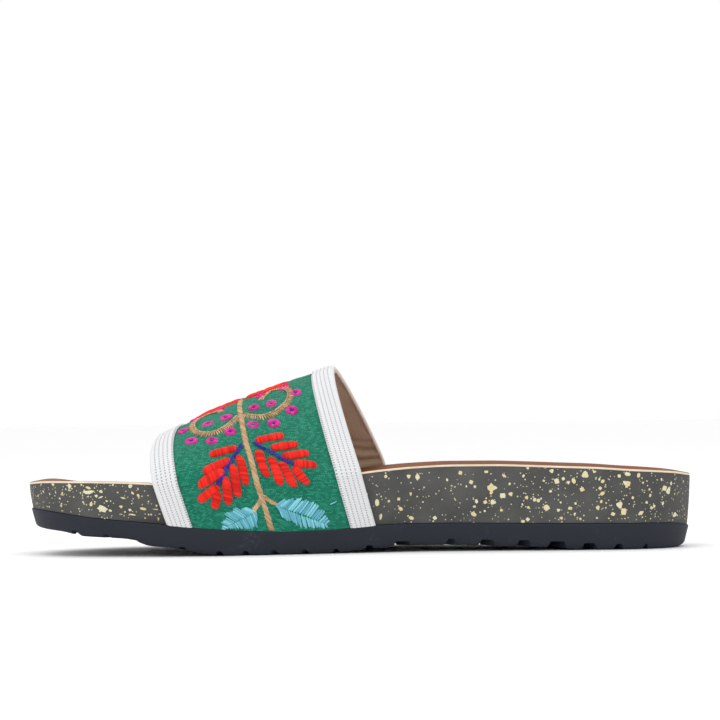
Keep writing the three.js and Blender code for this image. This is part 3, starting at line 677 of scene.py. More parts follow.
RUN = 72.0  # from the strap's front edge to its rear edge, along the slipper
SKEW = 0.141  # slope of its edges in the top view, further forward on the big-toe side
STRAP_FRONT, STRAP_REAR = 0.759, 0.4635  # shares of the length where its edges reach the sole
FRONT_OPENING, REAR_OPENING = 15.3, 36.4  # its crest above the rim at the front and the rear edge
FACE_INSET, LINING_INSET = 1.2, 0.4  # cloth and lining end this far inside the strap's edges
STRAP = np.array([
    # place along the strap, height of the crest, powers of the arch, lean below and above the rim
    (0.0, 0.0, 2.0, 2.0, 0.325, 0.26), (0.15, 0.215, 1.85, 1.96, 0.31, 0.275),
    (0.3, 0.385, 1.7, 1.92, 0.3, 0.29), (0.45, 0.54, 1.55, 1.88, 0.29, 0.305),
    (0.67, 0.745, 1.37, 1.83, 0.275, 0.325), (0.86, 0.91, 1.25, 1.78, 0.26, 0.35),
    (1.0, 1.0, 1.18, 1.75, 0.25, 0.372),
])


def strap_side(t, side):
    """The inner face of one side at a place along the strap, from the sole up to the crest."""
    crest, rise, spread, low, high = (float(on_curve(STRAP, c, t)) for c in range(1, 6))
    centre = (0.5 - (STRAP_FRONT + (STRAP_REAR - STRAP_FRONT) * t)) * LENGTH

    def edge_y(height):
        y = side * BALL_WIDTH / 2
        for _ in range(8):
            y = float(rim_edge(share_at(centre + SKEW * y - low * height), side))
        return y

    foot_share = share_at(centre + SKEW * edge_y(0))
    foot = float(joint_height(foot_share))
    wall = float(rim_height(foot_share)) - foot
    points = []
    for height in np.linspace(0.1, wall, 9):
        y = edge_y(height) + side * (GAP + flare_at(height / wall))
        points.append((centre + SKEW * y - low * height, y, foot + height))
    start_x, start_y, start_z = points[-1]
    top = FRONT_OPENING + (REAR_OPENING - FRONT_OPENING) * crest
    for angle in np.linspace(0, math.pi / 2, 37)[1:]:
        y = start_y * max(0.0, math.cos(angle)) ** (2 / spread)
        risen = top * math.sin(angle) ** (2 / rise)
        points.append((start_x + SKEW * (y - start_y) - high * risen, y, start_z + risen))
    return np.array(points)


STEPS = 80  # columns of the strap's grid on each side of the crest
strap_rows = np.linspace(-0.06, 1.06, 87)
strap_grid = np.zeros((len(strap_rows), 2 * STEPS + 1, 3))
side_length = np.zeros((len(strap_rows), 2))
for i, t in enumerate(strap_rows):
    near, far = strap_side(t, -1), strap_side(t, 1)
    near[-1] = far[-1] = (near[-1] + far[-1]) / 2
    for s, line in enumerate((near[::-1], far[::-1])):
        run = np.concatenate([[0], np.cumsum(np.linalg.norm(np.diff(line, axis=0), axis=1))])
        side_length[i, s] = run[-1]
        evenly = np.linspace(0, run[-1], STEPS + 1)
        even = np.stack([np.interp(evenly, run, line[:, c]) for c in range(3)], 1)
        if s == 0:
            strap_grid[i, : STEPS + 1] = even[::-1]
        else:
            strap_grid[i, STEPS:] = even
strap_normal = np.cross(np.gradient(strap_grid, axis=0), np.gradient(strap_grid, axis=1))
strap_normal /= np.linalg.norm(strap_normal, axis=2, keepdims=True)


def side_run(behind, across):
    """How far it is from the crest down to the sole, on the side that across is on."""
    at = np.asarray(behind) / RUN
    return np.where(across < 0, np.interp(at, strap_rows, side_length[:, 0]),
                    np.interp(at, strap_rows, side_length[:, 1]))


def strap_at(behind, across, proud):
    """A point of the strap: millimetres behind its front edge, across from its crest (the big-toe side
    is negative), and out from its inner face."""
    behind, across, proud = np.broadcast_arrays(*[np.asarray(k, float) for k in (behind, across, proud)])
    row = (behind / RUN - strap_rows[0]) / (strap_rows[1] - strap_rows[0])
    row = np.clip(row, 0, len(strap_rows) - 1.001)
    column = np.clip((across / side_run(behind, across) + 1) * STEPS, 0, 2 * STEPS - 0.001)
    r, c = row.astype(int), column.astype(int)
    f, g = (row - r)[..., None], (column - c)[..., None]

    def between(field):
        front = field[r, c] * (1 - g) + field[r, c + 1] * g
        rear = field[r + 1, c] * (1 - g) + field[r + 1, c + 1] * g
        return front * (1 - f) + rear * f

    normal = between(strap_normal)
    normal /= np.linalg.norm(normal, axis=-1, keepdims=True)
    return between(strap_grid) + normal * proud[..., None]


def strap_sheet(name, along_steps, across_steps, place, cloth_run=RUN):
    """A grid laid over the strap: place turns (0..1 along, -1..1 across) into behind, across and proud.
    Its UV map holds how far along the cloth and across the strap each point is, in centimetres."""
    bpy.ops.object.select_all(action="DESELECT")
    bpy.ops.mesh.primitive_grid_add(x_subdivisions=along_steps, y_subdivisions=across_steps, size=2)
    sheet = bpy.context.active_object
    sheet.name = sheet.data.name = name
    points = np.zeros(len(sheet.data.vertices) * 3)
    sheet.data.vertices.foreach_get("co", points)
    points = points.reshape(-1, 3)
    behind, across, proud = place((points[:, 0] + 1) / 2, points[:, 1])
    sheet.data.vertices.foreach_set("co", in_metres(strap_at(behind, across, proud)).ravel())
    corners = np.zeros(len(sheet.data.loops), int)
    sheet.data.loops.foreach_get("vertex_index", corners)
    flat = np.column_stack([(points[:, 0] + 1) / 2 * cloth_run, across])[corners] / 10
    sheet.data.uv_layers[0].data.foreach_set("uv", flat.ravel())
    sheet.data.update()
    return sheet


def soft_noise(x, y, seed):
    """Smooth unevenness of hand-laid cloth, between -1 and 1."""
    chance = np.random.default_rng(seed)
    total = np.zeros(np.shape(x))
    for _ in range(7):
        turn, pitch, start = chance.uniform(0, math.pi), chance.uniform(9, 21), chance.uniform(0, 6.3)
        total += np.sin((x * math.cos(turn) + y * math.sin(turn)) * 2 * math.pi / pitch + start)
    return total / 4


def face_place(along, across):
    behind = FACE_INSET + along * (RUN - 2 * FACE_INSET)
    from_edge = np.minimum(behind, RUN - behind)
    across = across * side_run(behind, across)
    padding = 0.35 * smoothstep(from_edge, 9, 16) * (1 + 0.6 * soft_noise(behind, across, 3))
    return behind, across, 1.8 + 0.4 * smoothstep(from_edge, 8, 9.6) + padding


def thicken(sheet, thickness, offset):
    wall = sheet.modifiers.new("wall", "SOLIDIFY")
    wall.thickness = thickness
    wall.offset = offset
    bpy.context.view_layer.objects.active = sheet
    bpy.ops.object.modifier_apply(modifier="wall")


strap_face = strap_sheet("strap_face", 120, 240, face_place)
thicken(strap_face, 0.0007, -1)


def lining_place(along, across):
    behind = LINING_INSET + along * (RUN - 2 * LINING_INSET)
    foot = side_run(behind, across)
    across = across * foot
    up = foot - np.abs(across)
    wavy = np.sin(up * 2 * math.pi / 4.2 + soft_noise(behind, across, 8) * 1.6)
    creases = 0.42 * np.exp(-(((up - 24) / 8) ** 2)) * wavy
    return behind, across, 0.5 + 0.25 * soft_noise(behind, across, 5) * smoothstep(up, 12, 24) - creases


lining = strap_sheet("strap_lining", 100, 200, lining_place)
thicken(lining, 0.0006, 1)


def woven_group():
    """Plain weave: the height of the threads, and a chance value for each dash of thread."""
    tree = bpy.data.node_groups.new("plain weave", "ShaderNodeTree")
    for name, kind in (("Vector", "NodeSocketVector"), ("Threads", "NodeSocketFloat")):
        tree.interface.new_socket(name, in_out="INPUT", socket_type=kind)
    for name in ("Height", "Dash"):
        tree.interface.new_socket(name, in_out="OUTPUT", socket_type="NodeSocketFloat")
    given = tree.nodes.new("NodeGroupInput").outputs
    result = tree.nodes.new("NodeGroupOutput")
    wobble = add_node(tree, "ShaderNodeTexNoise", {"Vector": given["Vector"], "Scale": 4.0, "Detail": 2.0})
    bent = add_node(tree, "ShaderNodeVectorMath", {0: wobble.outputs["Color"], 1: (0.05, 0.05, 0)},
                    operation="MULTIPLY")
    place = add_node(tree, "ShaderNodeVectorMath", {0: given["Vector"], 1: bent.outputs[0]}, operation="ADD")
    scaled = add_node(tree, "ShaderNodeVectorMath", {0: place.outputs[0], "Scale": given["Threads"]},
                      operation="SCALE")
    parts = add_node(tree, "ShaderNodeSeparateXYZ", {0: scaled.outputs[0]})
    humps, cells = [], []
    for axis in ("X", "Y"):
        whole = math_node(tree, "FLOOR", parts.outputs[axis])
        share = math_node(tree, "SUBTRACT", parts.outputs[axis], whole)
        humps.append(math_node(tree, "SINE", math_node(tree, "MULTIPLY", share, math.pi)))
        cells.append(whole)
    odd = math_node(tree, "FLOORED_MODULO", math_node(tree, "ADD", cells[0], cells[1]), 2.0)
    warp = math_node(tree, "MULTIPLY", humps[0], math_node(tree, "ADD", humps[1], 0.35))
    weft = math_node(tree, "MULTIPLY", humps[1], math_node(tree, "ADD", humps[0], 0.35))
    even_part = math_node(tree, "MULTIPLY", warp, math_node(tree, "SUBTRACT", 1.0, odd))
    height = math_node(tree, "ADD", even_part, math_node(tree, "MULTIPLY", weft, odd))
    tree.links.new(height, result.inputs["Height"])
    # a dash is two or three threads long and starts at its own place in each row
    shifted = math_node(tree, "ADD", math_node(tree, "MULTIPLY", parts.outputs["X"], 0.55),
                        math_node(tree, "MULTIPLY", cells[1], 0.37))
    seed = add_node(tree, "ShaderNodeCombineXYZ", {0: math_node(tree, "FLOOR", shifted), 1: cells[1]})
    chance = add_node(tree, "ShaderNodeTexWhiteNoise", {"Vector": seed.outputs[0]})
    tree.links.new(chance.outputs["Value"], result.inputs["Dash"])
    return tree


PLAIN_WEAVE = woven_group()


def weave(finish, threads):
    """The plain weave on a piece's UV map, with this many threads to the centimetre."""
    tree = finish.node_tree
    flat = tree.nodes.new("ShaderNodeUVMap")
    group = tree.nodes.new("ShaderNodeGroup")
    group.node_tree = PLAIN_WEAVE
    tree.links.new(flat.outputs[0], group.inputs["Vector"])
    group.inputs["Threads"].default_value = threads
    return group.outputs


cloth = principled("green cloth", (31, 122, 98), 0.9, Sheen_Weight=0.08, Specular_IOR_Level=0.2)
threads = weave(cloth, 17.0)
tree = cloth.node_tree
ramp = add_node(tree, "ShaderNodeValToRGB", {0: threads["Dash"]})
ramp.color_ramp.elements[0].color = in_linear((18, 112, 87))
ramp.color_ramp.elements[1].color = in_linear((56, 160, 130))
middle = ramp.color_ramp.elements.new(0.5)
middle.color = in_linear((28, 134, 106))
# the low parts of the weave are painted darker by the threads' height: painted shade between the threads
feed(cloth, "Base Color", color_mix(tree, threads["Height"], in_linear((12, 98, 76)), ramp.outputs[0]))
set_bump(cloth, threads["Height"], 0.0002, 0.8)
strap_face.data.materials.append(cloth)
finish_piece(strap_face, 50)

# the lining's colours are painted much paler than its own brown: painted light standing in for light
# reaching inside the strap
suede = principled("brown lining", (206, 182, 158), 0.85)
grain = grained(suede, 2200.0, 60.0)
two_colored(suede, grain["Clouds"], (190, 165, 142), (222, 200, 176))
set_bump(suede, grain["Pebbles"], 0.00015, 0.6)
lining.data.materials.append(suede)
finish_piece(lining, 50)
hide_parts("upper")


# Tapes
# A white woven tape is folded over each long edge of the strap and sewn down: soft ribs run along it,
# with rows of small holes between them, and its fold is cream.

TAPE_PATH = np.array([
    # behind the strap's edge, out from its inner face: from the tape's outer edge round to the inside
    (8.5, 2.25), (8.4, 2.6), (8.0, 2.66), (4.5, 2.66), (1.5, 2.6), (0.6, 2.4), (0.1, 1.95), (0.0, 1.2),
    (0.1, 0.6), (0.3, 0.35), (0.5, 0.3),
])
TAPE_ROWS = 1.6  # from one row of holes to the next
HOLE_PITCH = 0.9  # from one hole to the next in a row
TAPE_RIB = 0.07  # how far a rib stands up
RIBBED_FROM, RIBBED_TO = 0.5, 8.2  # the part of the tape's path that lies flat on the cloth
path_run = np.concatenate([[0], np.cumsum(np.linalg.norm(np.diff(TAPE_PATH, axis=0), axis=1))])


def tape_place(at_front):
    def place(along, across):
        run = along * path_run[-1]
        from_edge = np.interp(run, path_run, TAPE_PATH[:, 0])
        proud = np.interp(run, path_run, TAPE_PATH[:, 1])
        rows = np.abs(np.sin((run - RIBBED_FROM) / TAPE_ROWS * math.pi))
        rib = TAPE_RIB * rows * smoothstep(run, 0.4, 1.2) * (run < RIBBED_TO)
        behind = from_edge if at_front else RUN - from_edge
        return behind, across * (side_run(behind, across) - 0.1), proud + rib
    return place


tape_cloth = principled("white woven tape", (229, 229, 231), 0.9)
tree = tape_cloth.node_tree
threads = weave(tape_cloth, 22.0)
# the low parts of the weave are painted darker here too: painted shade between the threads
woven = color_mix(tree, threads["Height"], in_linear((204, 205, 208)), in_linear((236, 236, 237)))
flat = tree.nodes.new("ShaderNodeUVMap")
parts = add_node(tree, "ShaderNodeSeparateXYZ", {0: flat.outputs[0]})
from_rib = math_node(tree, "SUBTRACT", parts.outputs["X"], RIBBED_FROM / 10)
across_rows = math_node(tree, "MULTIPLY", from_rib, 10 / TAPE_ROWS)
along_rows = math_node(tree, "MULTIPLY", parts.outputs["Y"], 10 / HOLE_PITCH)
off_row = math_node(tree, "PINGPONG", across_rows, 0.5)
off_hole = math_node(tree, "PINGPONG", along_rows, 0.5)
flattened = math_node(tree, "MULTIPLY", off_row, 1.6)
spread = math_node(tree, "ADD", math_node(tree, "POWER", flattened, 2.0),
                   math_node(tree, "POWER", off_hole, 2.0))
flat_part = ranged(tree, parts.outputs["X"], 0.79, 0.8, 1.0, 0.0)
holes = math_node(tree, "MULTIPLY", ranged(tree, spread, 0.03, 0.12, 0.8, 0.0), flat_part)
fold_part = ranged(tree, parts.outputs["X"], 0.87, 0.96, 0.0, 1.0)
folded = color_mix(tree, fold_part, woven, in_linear((222, 208, 196)))
# the holes are painted grey-blue: painted shade inside them, besides being sunk in the bump below
feed(tape_cloth, "Base Color", color_mix(tree, holes, folded, in_linear((140, 143, 150))))
sunk = math_node(tree, "MULTIPLY", holes, 2.0)
set_bump(tape_cloth, math_node(tree, "SUBTRACT", threads["Height"], sunk), 0.00015, 0.7)
for name, at_front in (("tape_front", True), ("tape_rear", False)):
    tape = strap_sheet(name, 72, 300, tape_place(at_front), path_run[-1])
    thicken(tape, 0.0007, 0)
    bpy.ops.object.mode_set(mode="EDIT")
    bpy.ops.mesh.select_all(action="SELECT")
    bpy.ops.mesh.normals_make_consistent(inside=False)
    bpy.ops.object.mode_set(mode="OBJECT")
    tape.data.materials.append(tape_cloth)
    finish_piece(tape, 50)
    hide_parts("trim_front" if at_front else "trim_rear")


# Needlework
# Hand embroidery in soft twisted yarn, through the green cloth: on each side of the strap a tan
# stem with scrolls, red feathered leaves, berries and pale blue leaves, and two red sprays on the crest.

FACE = 2.45  # how far the cloth's face is out from the strap's inner face
chance = np.random.default_rng(41)


def yarn(name, color, light, dark):
    """Soft two-ply yarn. The piece's own attribute holds, for each point, how far along its stitch it
    is in centimetres, the turn round it, and the stitch's own shade."""
    finish = principled(name, color, 0.88, Sheen_Weight=0.08, Specular_IOR_Level=0.2)
    tree = finish.node_tree
    own = add_node(tree, "ShaderNodeAttribute", attribute_name="stitch")
    parts = add_node(tree, "ShaderNodeSeparateXYZ", {0: own.outputs["Vector"]})
    turned = math_node(tree, "MULTIPLY", parts.outputs["Y"], 2 * math.pi)
    twist = math_node(tree, "ADD", math_node(tree, "MULTIPLY", parts.outputs["X"], 90.0), turned)
    ply = math_node(tree, "SINE", twist)
    place = tree.nodes.new("ShaderNodeTexCoord")
    fuzz = add_node(tree, "ShaderNodeTexNoise",
                    {"Vector": place.outputs["Object"], "Scale": 5200.0, "Detail": 3.0})
    relief = math_node(tree, "ADD", math_node(tree, "MULTIPLY", ply, 0.3), fuzz.outputs[0])
    mixed = math_node(tree, "ADD", math_node(tree, "MULTIPLY", fuzz.outputs[0], 0.5),
                      math_node(tree, "MULTIPLY", parts.outputs["Z"], 0.75), True)
    feed(finish, "Base Color", color_mix(tree, mixed, in_linear(dark), in_linear(light)))
    set_bump(finish, relief, 0.00018, 0.8)
    return finish


def base_shape(add, shape):
    """The points and faces of a primitive that was added and shaped once, ready to be copied."""
    bpy.ops.object.select_all(action="DESELECT")
    add()
    model = bpy.context.active_object
    points = np.zeros(len(model.data.vertices) * 3)
    model.data.vertices.foreach_get("co", points)
    faces = [list(face.vertices) for face in model.data.polygons]
    bpy.data.objects.remove(model)
    return shape(points.reshape(-1, 3)), faces


def copies(name, base, places, stitch, finish):
    """One mesh of many copies. places and stitch hold each copy's points and their stitch attribute."""
    points, faces = base
    count, size = len(places), len(points)
    mesh = bpy.data.meshes.new(name)
    everyone = [[v + n * size for v in face] for n in range(count) for face in faces]
    mesh.from_pydata(in_metres(places.reshape(-1, 3)).tolist(), [], everyone)
    mesh.attributes.new("stitch", "FLOAT_VECTOR", "POINT").data.foreach_set("vector", stitch.ravel())
    piece = bpy.data.objects.new(name, mesh)
    bpy.context.scene.collection.objects.link(piece)
    mesh.materials.append(finish)
    bpy.ops.object.select_all(action="DESELECT")
    piece.select_set(True)
    bpy.context.view_layer.objects.active = piece
    bpy.ops.object.mode_set(mode="EDIT")
    bpy.ops.mesh.select_all(action="SELECT")
    bpy.ops.mesh.normals_make_consistent(inside=False)
    bpy.ops.object.mode_set(mode="OBJECT")
    finish_piece(piece, 80)


def as_strand(points):
    """A ball drawn out into a strand along X with full ends."""
    along = points[:, 2]
    radius = np.sqrt(points[:, 0] ** 2 + points[:, 1] ** 2)
    full = (1 - np.abs(along) ** 5) ** 0.5
    scale = np.where(radius > 1e-6, full / np.maximum(radius, 1e-6), 0)
    return np.column_stack([along, points[:, 0] * scale, points[:, 1] * scale])


def small_ball():
    bpy.ops.mesh.primitive_uv_sphere_add(segments=8, ring_count=8, radius=1)


STRAND = base_shape(small_ball, as_strand)


def stitches(name, rows, finish):
    """Straight stitches laid on the strap. Each row: behind and across of both ends, width, height,
    how high its middle lies above the cloth, and how far its middle bows sideways."""
    rows = np.array(rows, float)
    foot = side_run(rows[:, 0], rows[:, 1]) - 0.5
    rows[:, 1] = np.clip(rows[:, 1], -foot, foot)
    rows[:, 3] = np.clip(rows[:, 3], -foot, foot)
    points, _ = STRAND
    start, end = rows[:, None, 0:2], rows[:, None, 2:4]
    way = end - start
    length = np.linalg.norm(way, axis=2, keepdims=True)
    sideways = np.stack([-way[..., 1], way[..., 0]], -1) / np.maximum(length, 0.01)
    x, y, z = points[None, :, 0:1], points[None, :, 1:2], points[None, :, 2:3]
    bow = rows[:, None, 7:8] * (1 - x**2)
    flat = (start + end) / 2 + way / 2 * x + sideways * (y * rows[:, None, 4:5] / 2 + bow)
    lift = rows[:, None, 6:7] * (1 - x**4) - 0.3 * x**4
    proud = FACE + lift + z * rows[:, None, 5:6] / 2
    places = strap_at(flat[..., 0], flat[..., 1], proud[..., 0])
    turn = np.arctan2(points[:, 2], points[:, 1]) / 2 / math.pi
    shade = chance.uniform(0, 1, (len(rows), 1)) * np.ones(len(points))
    stitch = np.stack([length[..., 0] * points[:, 0] / 20, turn + 0 * shade, shade], -1)
    copies(name, STRAND, places, stitch, finish)


def both_sides(rows):
    """Rows for the big-toe side, and the same turned over to the little-toe side."""
    rows = np.array(rows, float)
    turned = rows.copy()
    turned[:, [1, 3]] *= -1
    turned[:, 7] *= -1
    return np.vstack([rows, turned])


def walk(path, step):
    """Points at even steps along a smooth line through the path, and the line's direction there."""
    path = np.array(path, float)
    run = np.concatenate([[0], np.cumsum(np.linalg.norm(np.diff(path, axis=0), axis=1))])
    even = np.arange(step / 2, run[-1], step)
    smooth = np.column_stack([on_curve(np.column_stack([run, path]), c, even) for c in (1, 2)])
    ahead = np.column_stack([on_curve(np.column_stack([run, path]), c, even + 0.4) for c in (1, 2)])
    behind = np.column_stack([on_curve(np.column_stack([run, path]), c, even - 0.4) for c in (1, 2)])
    way = ahead - behind
    return smooth, way / np.maximum(np.linalg.norm(way, axis=1, keepdims=True), 0.001)


def rope(path, step, half, slant, width, height, lift):
    """Slanted stitches side by side along a path: a twisted rope of yarn."""
    rows = []
    for (a, v), (da, dv) in zip(*walk(path, step)):
        jitter = chance.uniform(-0.12, 0.12, 4)
        side = np.array([-dv, da]) * half + np.array([da, dv]) * slant
        rows.append((a - side[0] + jitter[0], v - side[1] + jitter[1], a + side[0] + jitter[2],
                     v + side[1] + jitter[3], width, height, lift, 0))
    return rows


# The stem, from the sole to the crest, with two short branches, and the comb-edged scrolls
STEM = [
    (36.0, -76.5), (36.0, -74.2), (36.2, -65.8), (36.2, -56.8), (36.0, -47.5), (35.5, -40), (35.2, -29.5),
    (34.6, -20), (34.0, -10), (33.6, -2.5),
]
BRANCHES = [
    [(36.5, -61.4), (34.6, -64.2), (32.0, -66.9)],
    [(36.4, -60.6), (38.2, -62.8), (40.2, -64.6)],
]
SCROLLS = [
    [(35.8, -23.8), (39, -26), (42.8, -27), (46.5, -25.8), (50.5, -22.5), (53, -19), (54, -14.5), (51.8, -9),
     (47.5, -7), (45, -10), (43.4, -14)],
    [(34, -24.2), (31.5, -28), (28, -31.5), (24, -33.5), (20, -32.5), (17, -28), (16, -21), (17.5, -14),
     (21, -10.5), (25, -12), (26.6, -16)],
]
tan_rows = rope(STEM, 0.66, 1.0, 1.9, 0.75, 0.7, 0.25)
for path in BRANCHES:
    tan_rows += rope(path, 0.72, 0.85, 1.4, 0.8, 0.65, 0.3)
for number, path in enumerate(SCROLLS):
    outer = 1 if number == 0 else -1
    for step, ((a, v), (da, dv)) in enumerate(zip(*walk(path, 0.8))):
        normal = np.array([dv, -da]) * outer
        tooth = 1.75 + 0.35 * (step % 2) + chance.uniform(-0.15, 0.15)
        start = np.array([a, v]) - normal * 0.5
        end = np.array([a, v]) + normal * tooth + np.array([da, dv]) * 0.55
        tan_rows.append((*start, *end, 0.62, 0.55, 0.3, 0))
    tan_rows += [(a - da * 0.9 - dv * 0.5 * outer, v - dv * 0.9 + da * 0.5 * outer,
                  a + da * 0.9 - dv * 0.5 * outer, v + dv * 0.9 + da * 0.5 * outer, 0.7, 0.6, 0.45, 0)
                 for (a, v), (da, dv) in zip(*walk(path, 1.5))]
tan_yarn = yarn("tan yarn", (184, 148, 106), (208, 174, 134), (140, 106, 70))
stitches("stem_and_scrolls", both_sides(tan_rows), tan_yarn)

# Red feathered leaves: thick bars, satin stitch across a padding, so that each is ribbed crosswise.
BAR_HALF = 1.72  # half a bar's width
BAR_HEIGHT, CREST_HEIGHT = 1.15, 0.8  # half its height, on the sides and on the crest
RIBS = 8.5  # along half a bar
BARS = [
    # behind and across of both ends: two leaves, each with a row above and a row below its vein
    (39.2, -40.2, 48.8, -37.7), (44.0, -43.3, 52.9, -41.6), (47.2, -47.0, 55.8, -45.3),
    (50.2, -50.0, 57.2, -50.3), (39.4, -44.8, 40.2, -54.2), (42.9, -47.6, 43.9, -56.8),
    (46.2, -49.6, 48.3, -57.5), (50.0, -51.4, 53.0, -56.2), (31.8, -43.2, 22.2, -45.5),
    (28.6, -48.4, 19.0, -51.8), (25.8, -52.6, 16.2, -56.0), (22.6, -57.0, 14.5, -61.2),
    (32.0, -46.8, 32.2, -56.5), (29.2, -50.4, 28.2, -61.0), (26.0, -54.4, 24.0, -63.8),
    (21.9, -59.2, 19.0, -64.6),
]
CREST_BARS = [(start, side * 0.8, start + way * 7.2, side * 5.4)
              for way, first in ((1, 36.0), (-1, 32.4)) for side in (-1, 1)
              for start in (first, first + way * 3.6, first + way * 7.2, first + way * 10.4)]


def as_bar(points):
    along = points[:, 2]
    radius = np.sqrt(points[:, 0] ** 2 + points[:, 1] ** 2)
    full = (1 - np.abs(along) ** 6) ** 0.5
    scale = np.where(radius > 1e-6, full / np.maximum(radius, 1e-6), 0)
    ribbed = 1 - 0.13 * np.abs(np.cos(along * math.pi * RIBS))
    return np.column_stack([along, points[:, 0] * scale * ribbed, points[:, 1] * scale * ribbed])


def even_ball():
    """A ball of evenly spaced rings, so that its ribs are as fine in the middle as at its ends."""
    bpy.ops.mesh.primitive_uv_sphere_add(segments=12, ring_count=70, radius=1)
    data = bpy.context.active_object.data
    for vertex in data.vertices:
        height = 1 - 2 * math.acos(max(-1, min(1, vertex.co.z))) / math.pi
        flat = math.hypot(vertex.co.x, vertex.co.y)
        outwards = 1 / flat if flat > 1e-6 else 0
        vertex.co = (vertex.co.x * outwards, vertex.co.y * outwards, height)


def part_shades(part, count):
    """A chance shade between 0 and 1 for each numbered part of this many copies."""
    return np.mod(np.sin(part[None, :] * 12.9898 + np.arange(count)[:, None] * 78.233) * 43758.5453, 1)


BAR = base_shape(even_ball, as_bar)
rows = np.array(BARS, float)
turned = rows * (1, -1, 1, -1)
rows = np.vstack([rows, turned, np.array(CREST_BARS, float)])
points, _ = BAR
start, end = rows[:, None, 0:2], rows[:, None, 2:4]
way = end - start
length = np.linalg.norm(way, axis=2, keepdims=True)
sideways = np.stack([-way[..., 1], way[..., 0]], -1) / length
way *= 1 + 0.9 / length
height = np.where(np.arange(len(rows)) < len(BARS) * 2, BAR_HEIGHT, CREST_HEIGHT)[:, None, None]
x, y, z = points[None, :, 0:1], points[None, :, 1:2], points[None, :, 2:3]
uneven = chance.uniform(-1, 1, (len(rows), 3, 1, 1))
girth = 1 + 0.06 * uneven[:, 0] * np.sin(x * 4 + uneven[:, 1] * 3) - 0.05 * x
curve = uneven[:, 2] * 0.45 * (1 - x**2)
flat = (start + end) / 2 + way / 2 * (x + 0.05 * y) + sideways * (y * BAR_HALF * girth + curve)
proud = FACE + 0.15 + z * height * girth
places = strap_at(flat[..., 0], flat[..., 1], proud[..., 0])
shade = part_shades(np.floor((points[:, 0] + 1) * RIBS), len(rows))
turn = np.arctan2(points[:, 2], points[:, 1]) / 2 / math.pi
stitch = np.stack([points[:, 0] * 0.1 + 0 * shade, turn + 0 * shade, shade], -1)
red_yarn = yarn("red yarn", (234, 36, 27), (243, 46, 34), (172, 8, 10))
copies("feathered_leaves", BAR, places, stitch, red_yarn)

# Blue-violet veins of the feathered leaves, in chain stitch
VEINS = [
    [(38.0, -41.0), (40.8, -43.6), (44.8, -46.4), (47.2, -48.6), (50.0, -50.0)],
    [(34.0, -41.8), (30.2, -47.2), (26.8, -51.8), (24.2, -54.8), (22.3, -56.4)],
]


def chain(path):
    rows = []
    for (a, v), (da, dv) in zip(*walk(path, 1.7)):
        ends = (a - da * 1.15, v - dv * 1.15, a + da * 1.15, v + dv * 1.15)
        rows += [(*ends, 0.52, 0.55, 0.75, side * 0.38) for side in (-1, 1)]
    return rows


violet_rows = both_sides([row for path in VEINS for row in chain(path)])
CREST_VEINS = [[(37.0, 0), (45, 0), (54, 0)], [(30.8, 0), (23, 0), (14, 0)]]
crest_rows = np.array([(*row[:6], 0.05, row[7]) for path in CREST_VEINS for row in chain(path)])
violet_yarn = yarn("blue violet yarn", (54, 40, 152), (74, 58, 184), (30, 22, 100))
RINGS = [
    # behind and across of each berry's middle
    (52, -8), (56.5, -14.8), (42.5, -9.5), (46.8, -19.4), (40.0, -19.8), (53.8, -25.0), (46.5, -31.4),
    (39.0, -31.6), (25.5, -9), (15.5, -10), (29.2, -23.2), (22.0, -25.2), (12.2, -25.4), (30.5, -34.2),
    (15.8, -36.4), (23.5, -38.4),
]
knots = both_sides([(a - 0.42, v - 0.2, a + 0.42, v + 0.2, 0.75, 0.6, 0.2, 0) for a, v in RINGS])
stitches("veins_and_berry_knots", np.vstack([violet_rows, crest_rows, knots]), violet_yarn)


# Pink berries: rings of yarn laid radially round a small hole
RING_RADIUS, RING_HALF = 1.5, 0.72  # from the hole's middle to the yarn's, and half the yarn's thickness


def as_ring(points):
    turn = np.arctan2(points[:, 1], points[:, 0])
    lumps = 1 + 0.2 * np.abs(np.cos(turn * 6))
    radius = np.hypot(points[:, 0], points[:, 1])
    out = RING_RADIUS + (radius - RING_RADIUS) * lumps
    return np.column_stack([np.cos(turn) * out, np.sin(turn) * out, points[:, 2] * lumps])


def plain_ring():
    bpy.ops.mesh.primitive_torus_add(major_segments=48, minor_segments=8, major_radius=RING_RADIUS,
                                     minor_radius=RING_HALF)


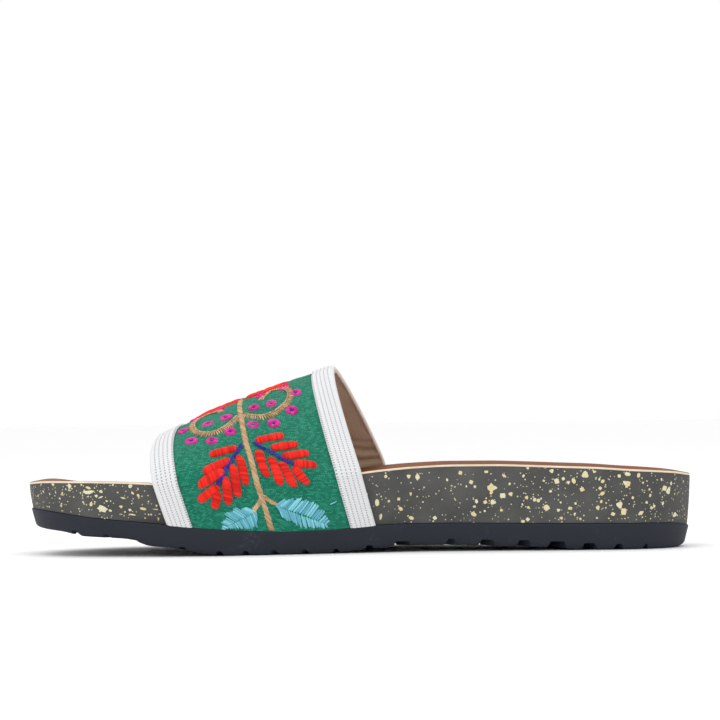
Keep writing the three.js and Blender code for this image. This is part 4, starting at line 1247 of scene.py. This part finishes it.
RING = base_shape(plain_ring, as_ring)
centres = np.array(RINGS + [(a, -v) for a, v in RINGS], float)
points, _ = RING
turned = chance.uniform(0, 6.28, (len(centres), 1))
size = chance.uniform(0.92, 1.08, (len(centres), 2))
x = points[:, 0] * np.cos(turned) - points[:, 1] * np.sin(turned)
y = points[:, 0] * np.sin(turned) + points[:, 1] * np.cos(turned)
places = strap_at(centres[:, :1] + x * size[:, :1], centres[:, 1:] + y * size[:, 1:],
                  FACE + 0.05 + points[:, 2] * 0.75)
shade = part_shades(np.floor(np.arctan2(points[:, 1], points[:, 0]) / math.pi * 6), len(centres))
around = np.arctan2(points[:, 2], np.hypot(points[:, 0], points[:, 1]) - RING_RADIUS) / 2 / math.pi
stitch = np.stack([around[None, :] * 0.5 + 0 * shade, 0 * shade, shade], -1)
pink_yarn = yarn("pink yarn", (222, 36, 148), (236, 52, 164), (156, 12, 98))
copies("berries", RING, places, stitch, pink_yarn)

# Pale blue leaves: flat satin stitches slanting out from a midrib, their ends ragged. The lower
# halves are cut off by the sole.
LEAVES = [
    # base, tip, half width of both sides, slant of the stitches
    ((39.6, -64.8), (55.2, -72.4), 7.6, 5.2, 2.8),
    ((33.2, -67.2), (19.8, -73.2), 4.8, 6.0, 2.4),
]
blue_rows = []
for base, tip, upper, lower, slant in LEAVES:
    base, tip = np.array(base), np.array(tip)
    way = tip - base
    length = np.linalg.norm(way)
    way = way / length
    for side in (-1, 1):
        normal = np.array([-way[1], way[0]]) * side
        half = upper if normal[1] > 0 else lower
        for step in np.arange(0.4, length, 0.85):
            share = step / length
            swell = math.sin(math.pi * min(1, share * 0.86 + 0.12)) ** 0.75
            reach = half * swell + chance.uniform(-0.9, 0.7)
            inner = base + way * step - normal * 0.35
            outer = base + way * (step + slant * (1 - share * 0.5)) + normal * max(0.8, reach)
            blue_rows.append((*inner, *outer, 0.82, 0.6, 0.3 + 0.15 * math.sin(step * 3), 0))
blue_rows.append((58.2, -64.6, 61.2, -63.2, 0.35, 0.3, 0.15, 0))  # one stray thread beside the leaf
blue_yarn = yarn("pale blue yarn", (112, 194, 210), (140, 214, 226), (62, 146, 168))
stitches("pale_leaves", both_sides(blue_rows), blue_yarn)
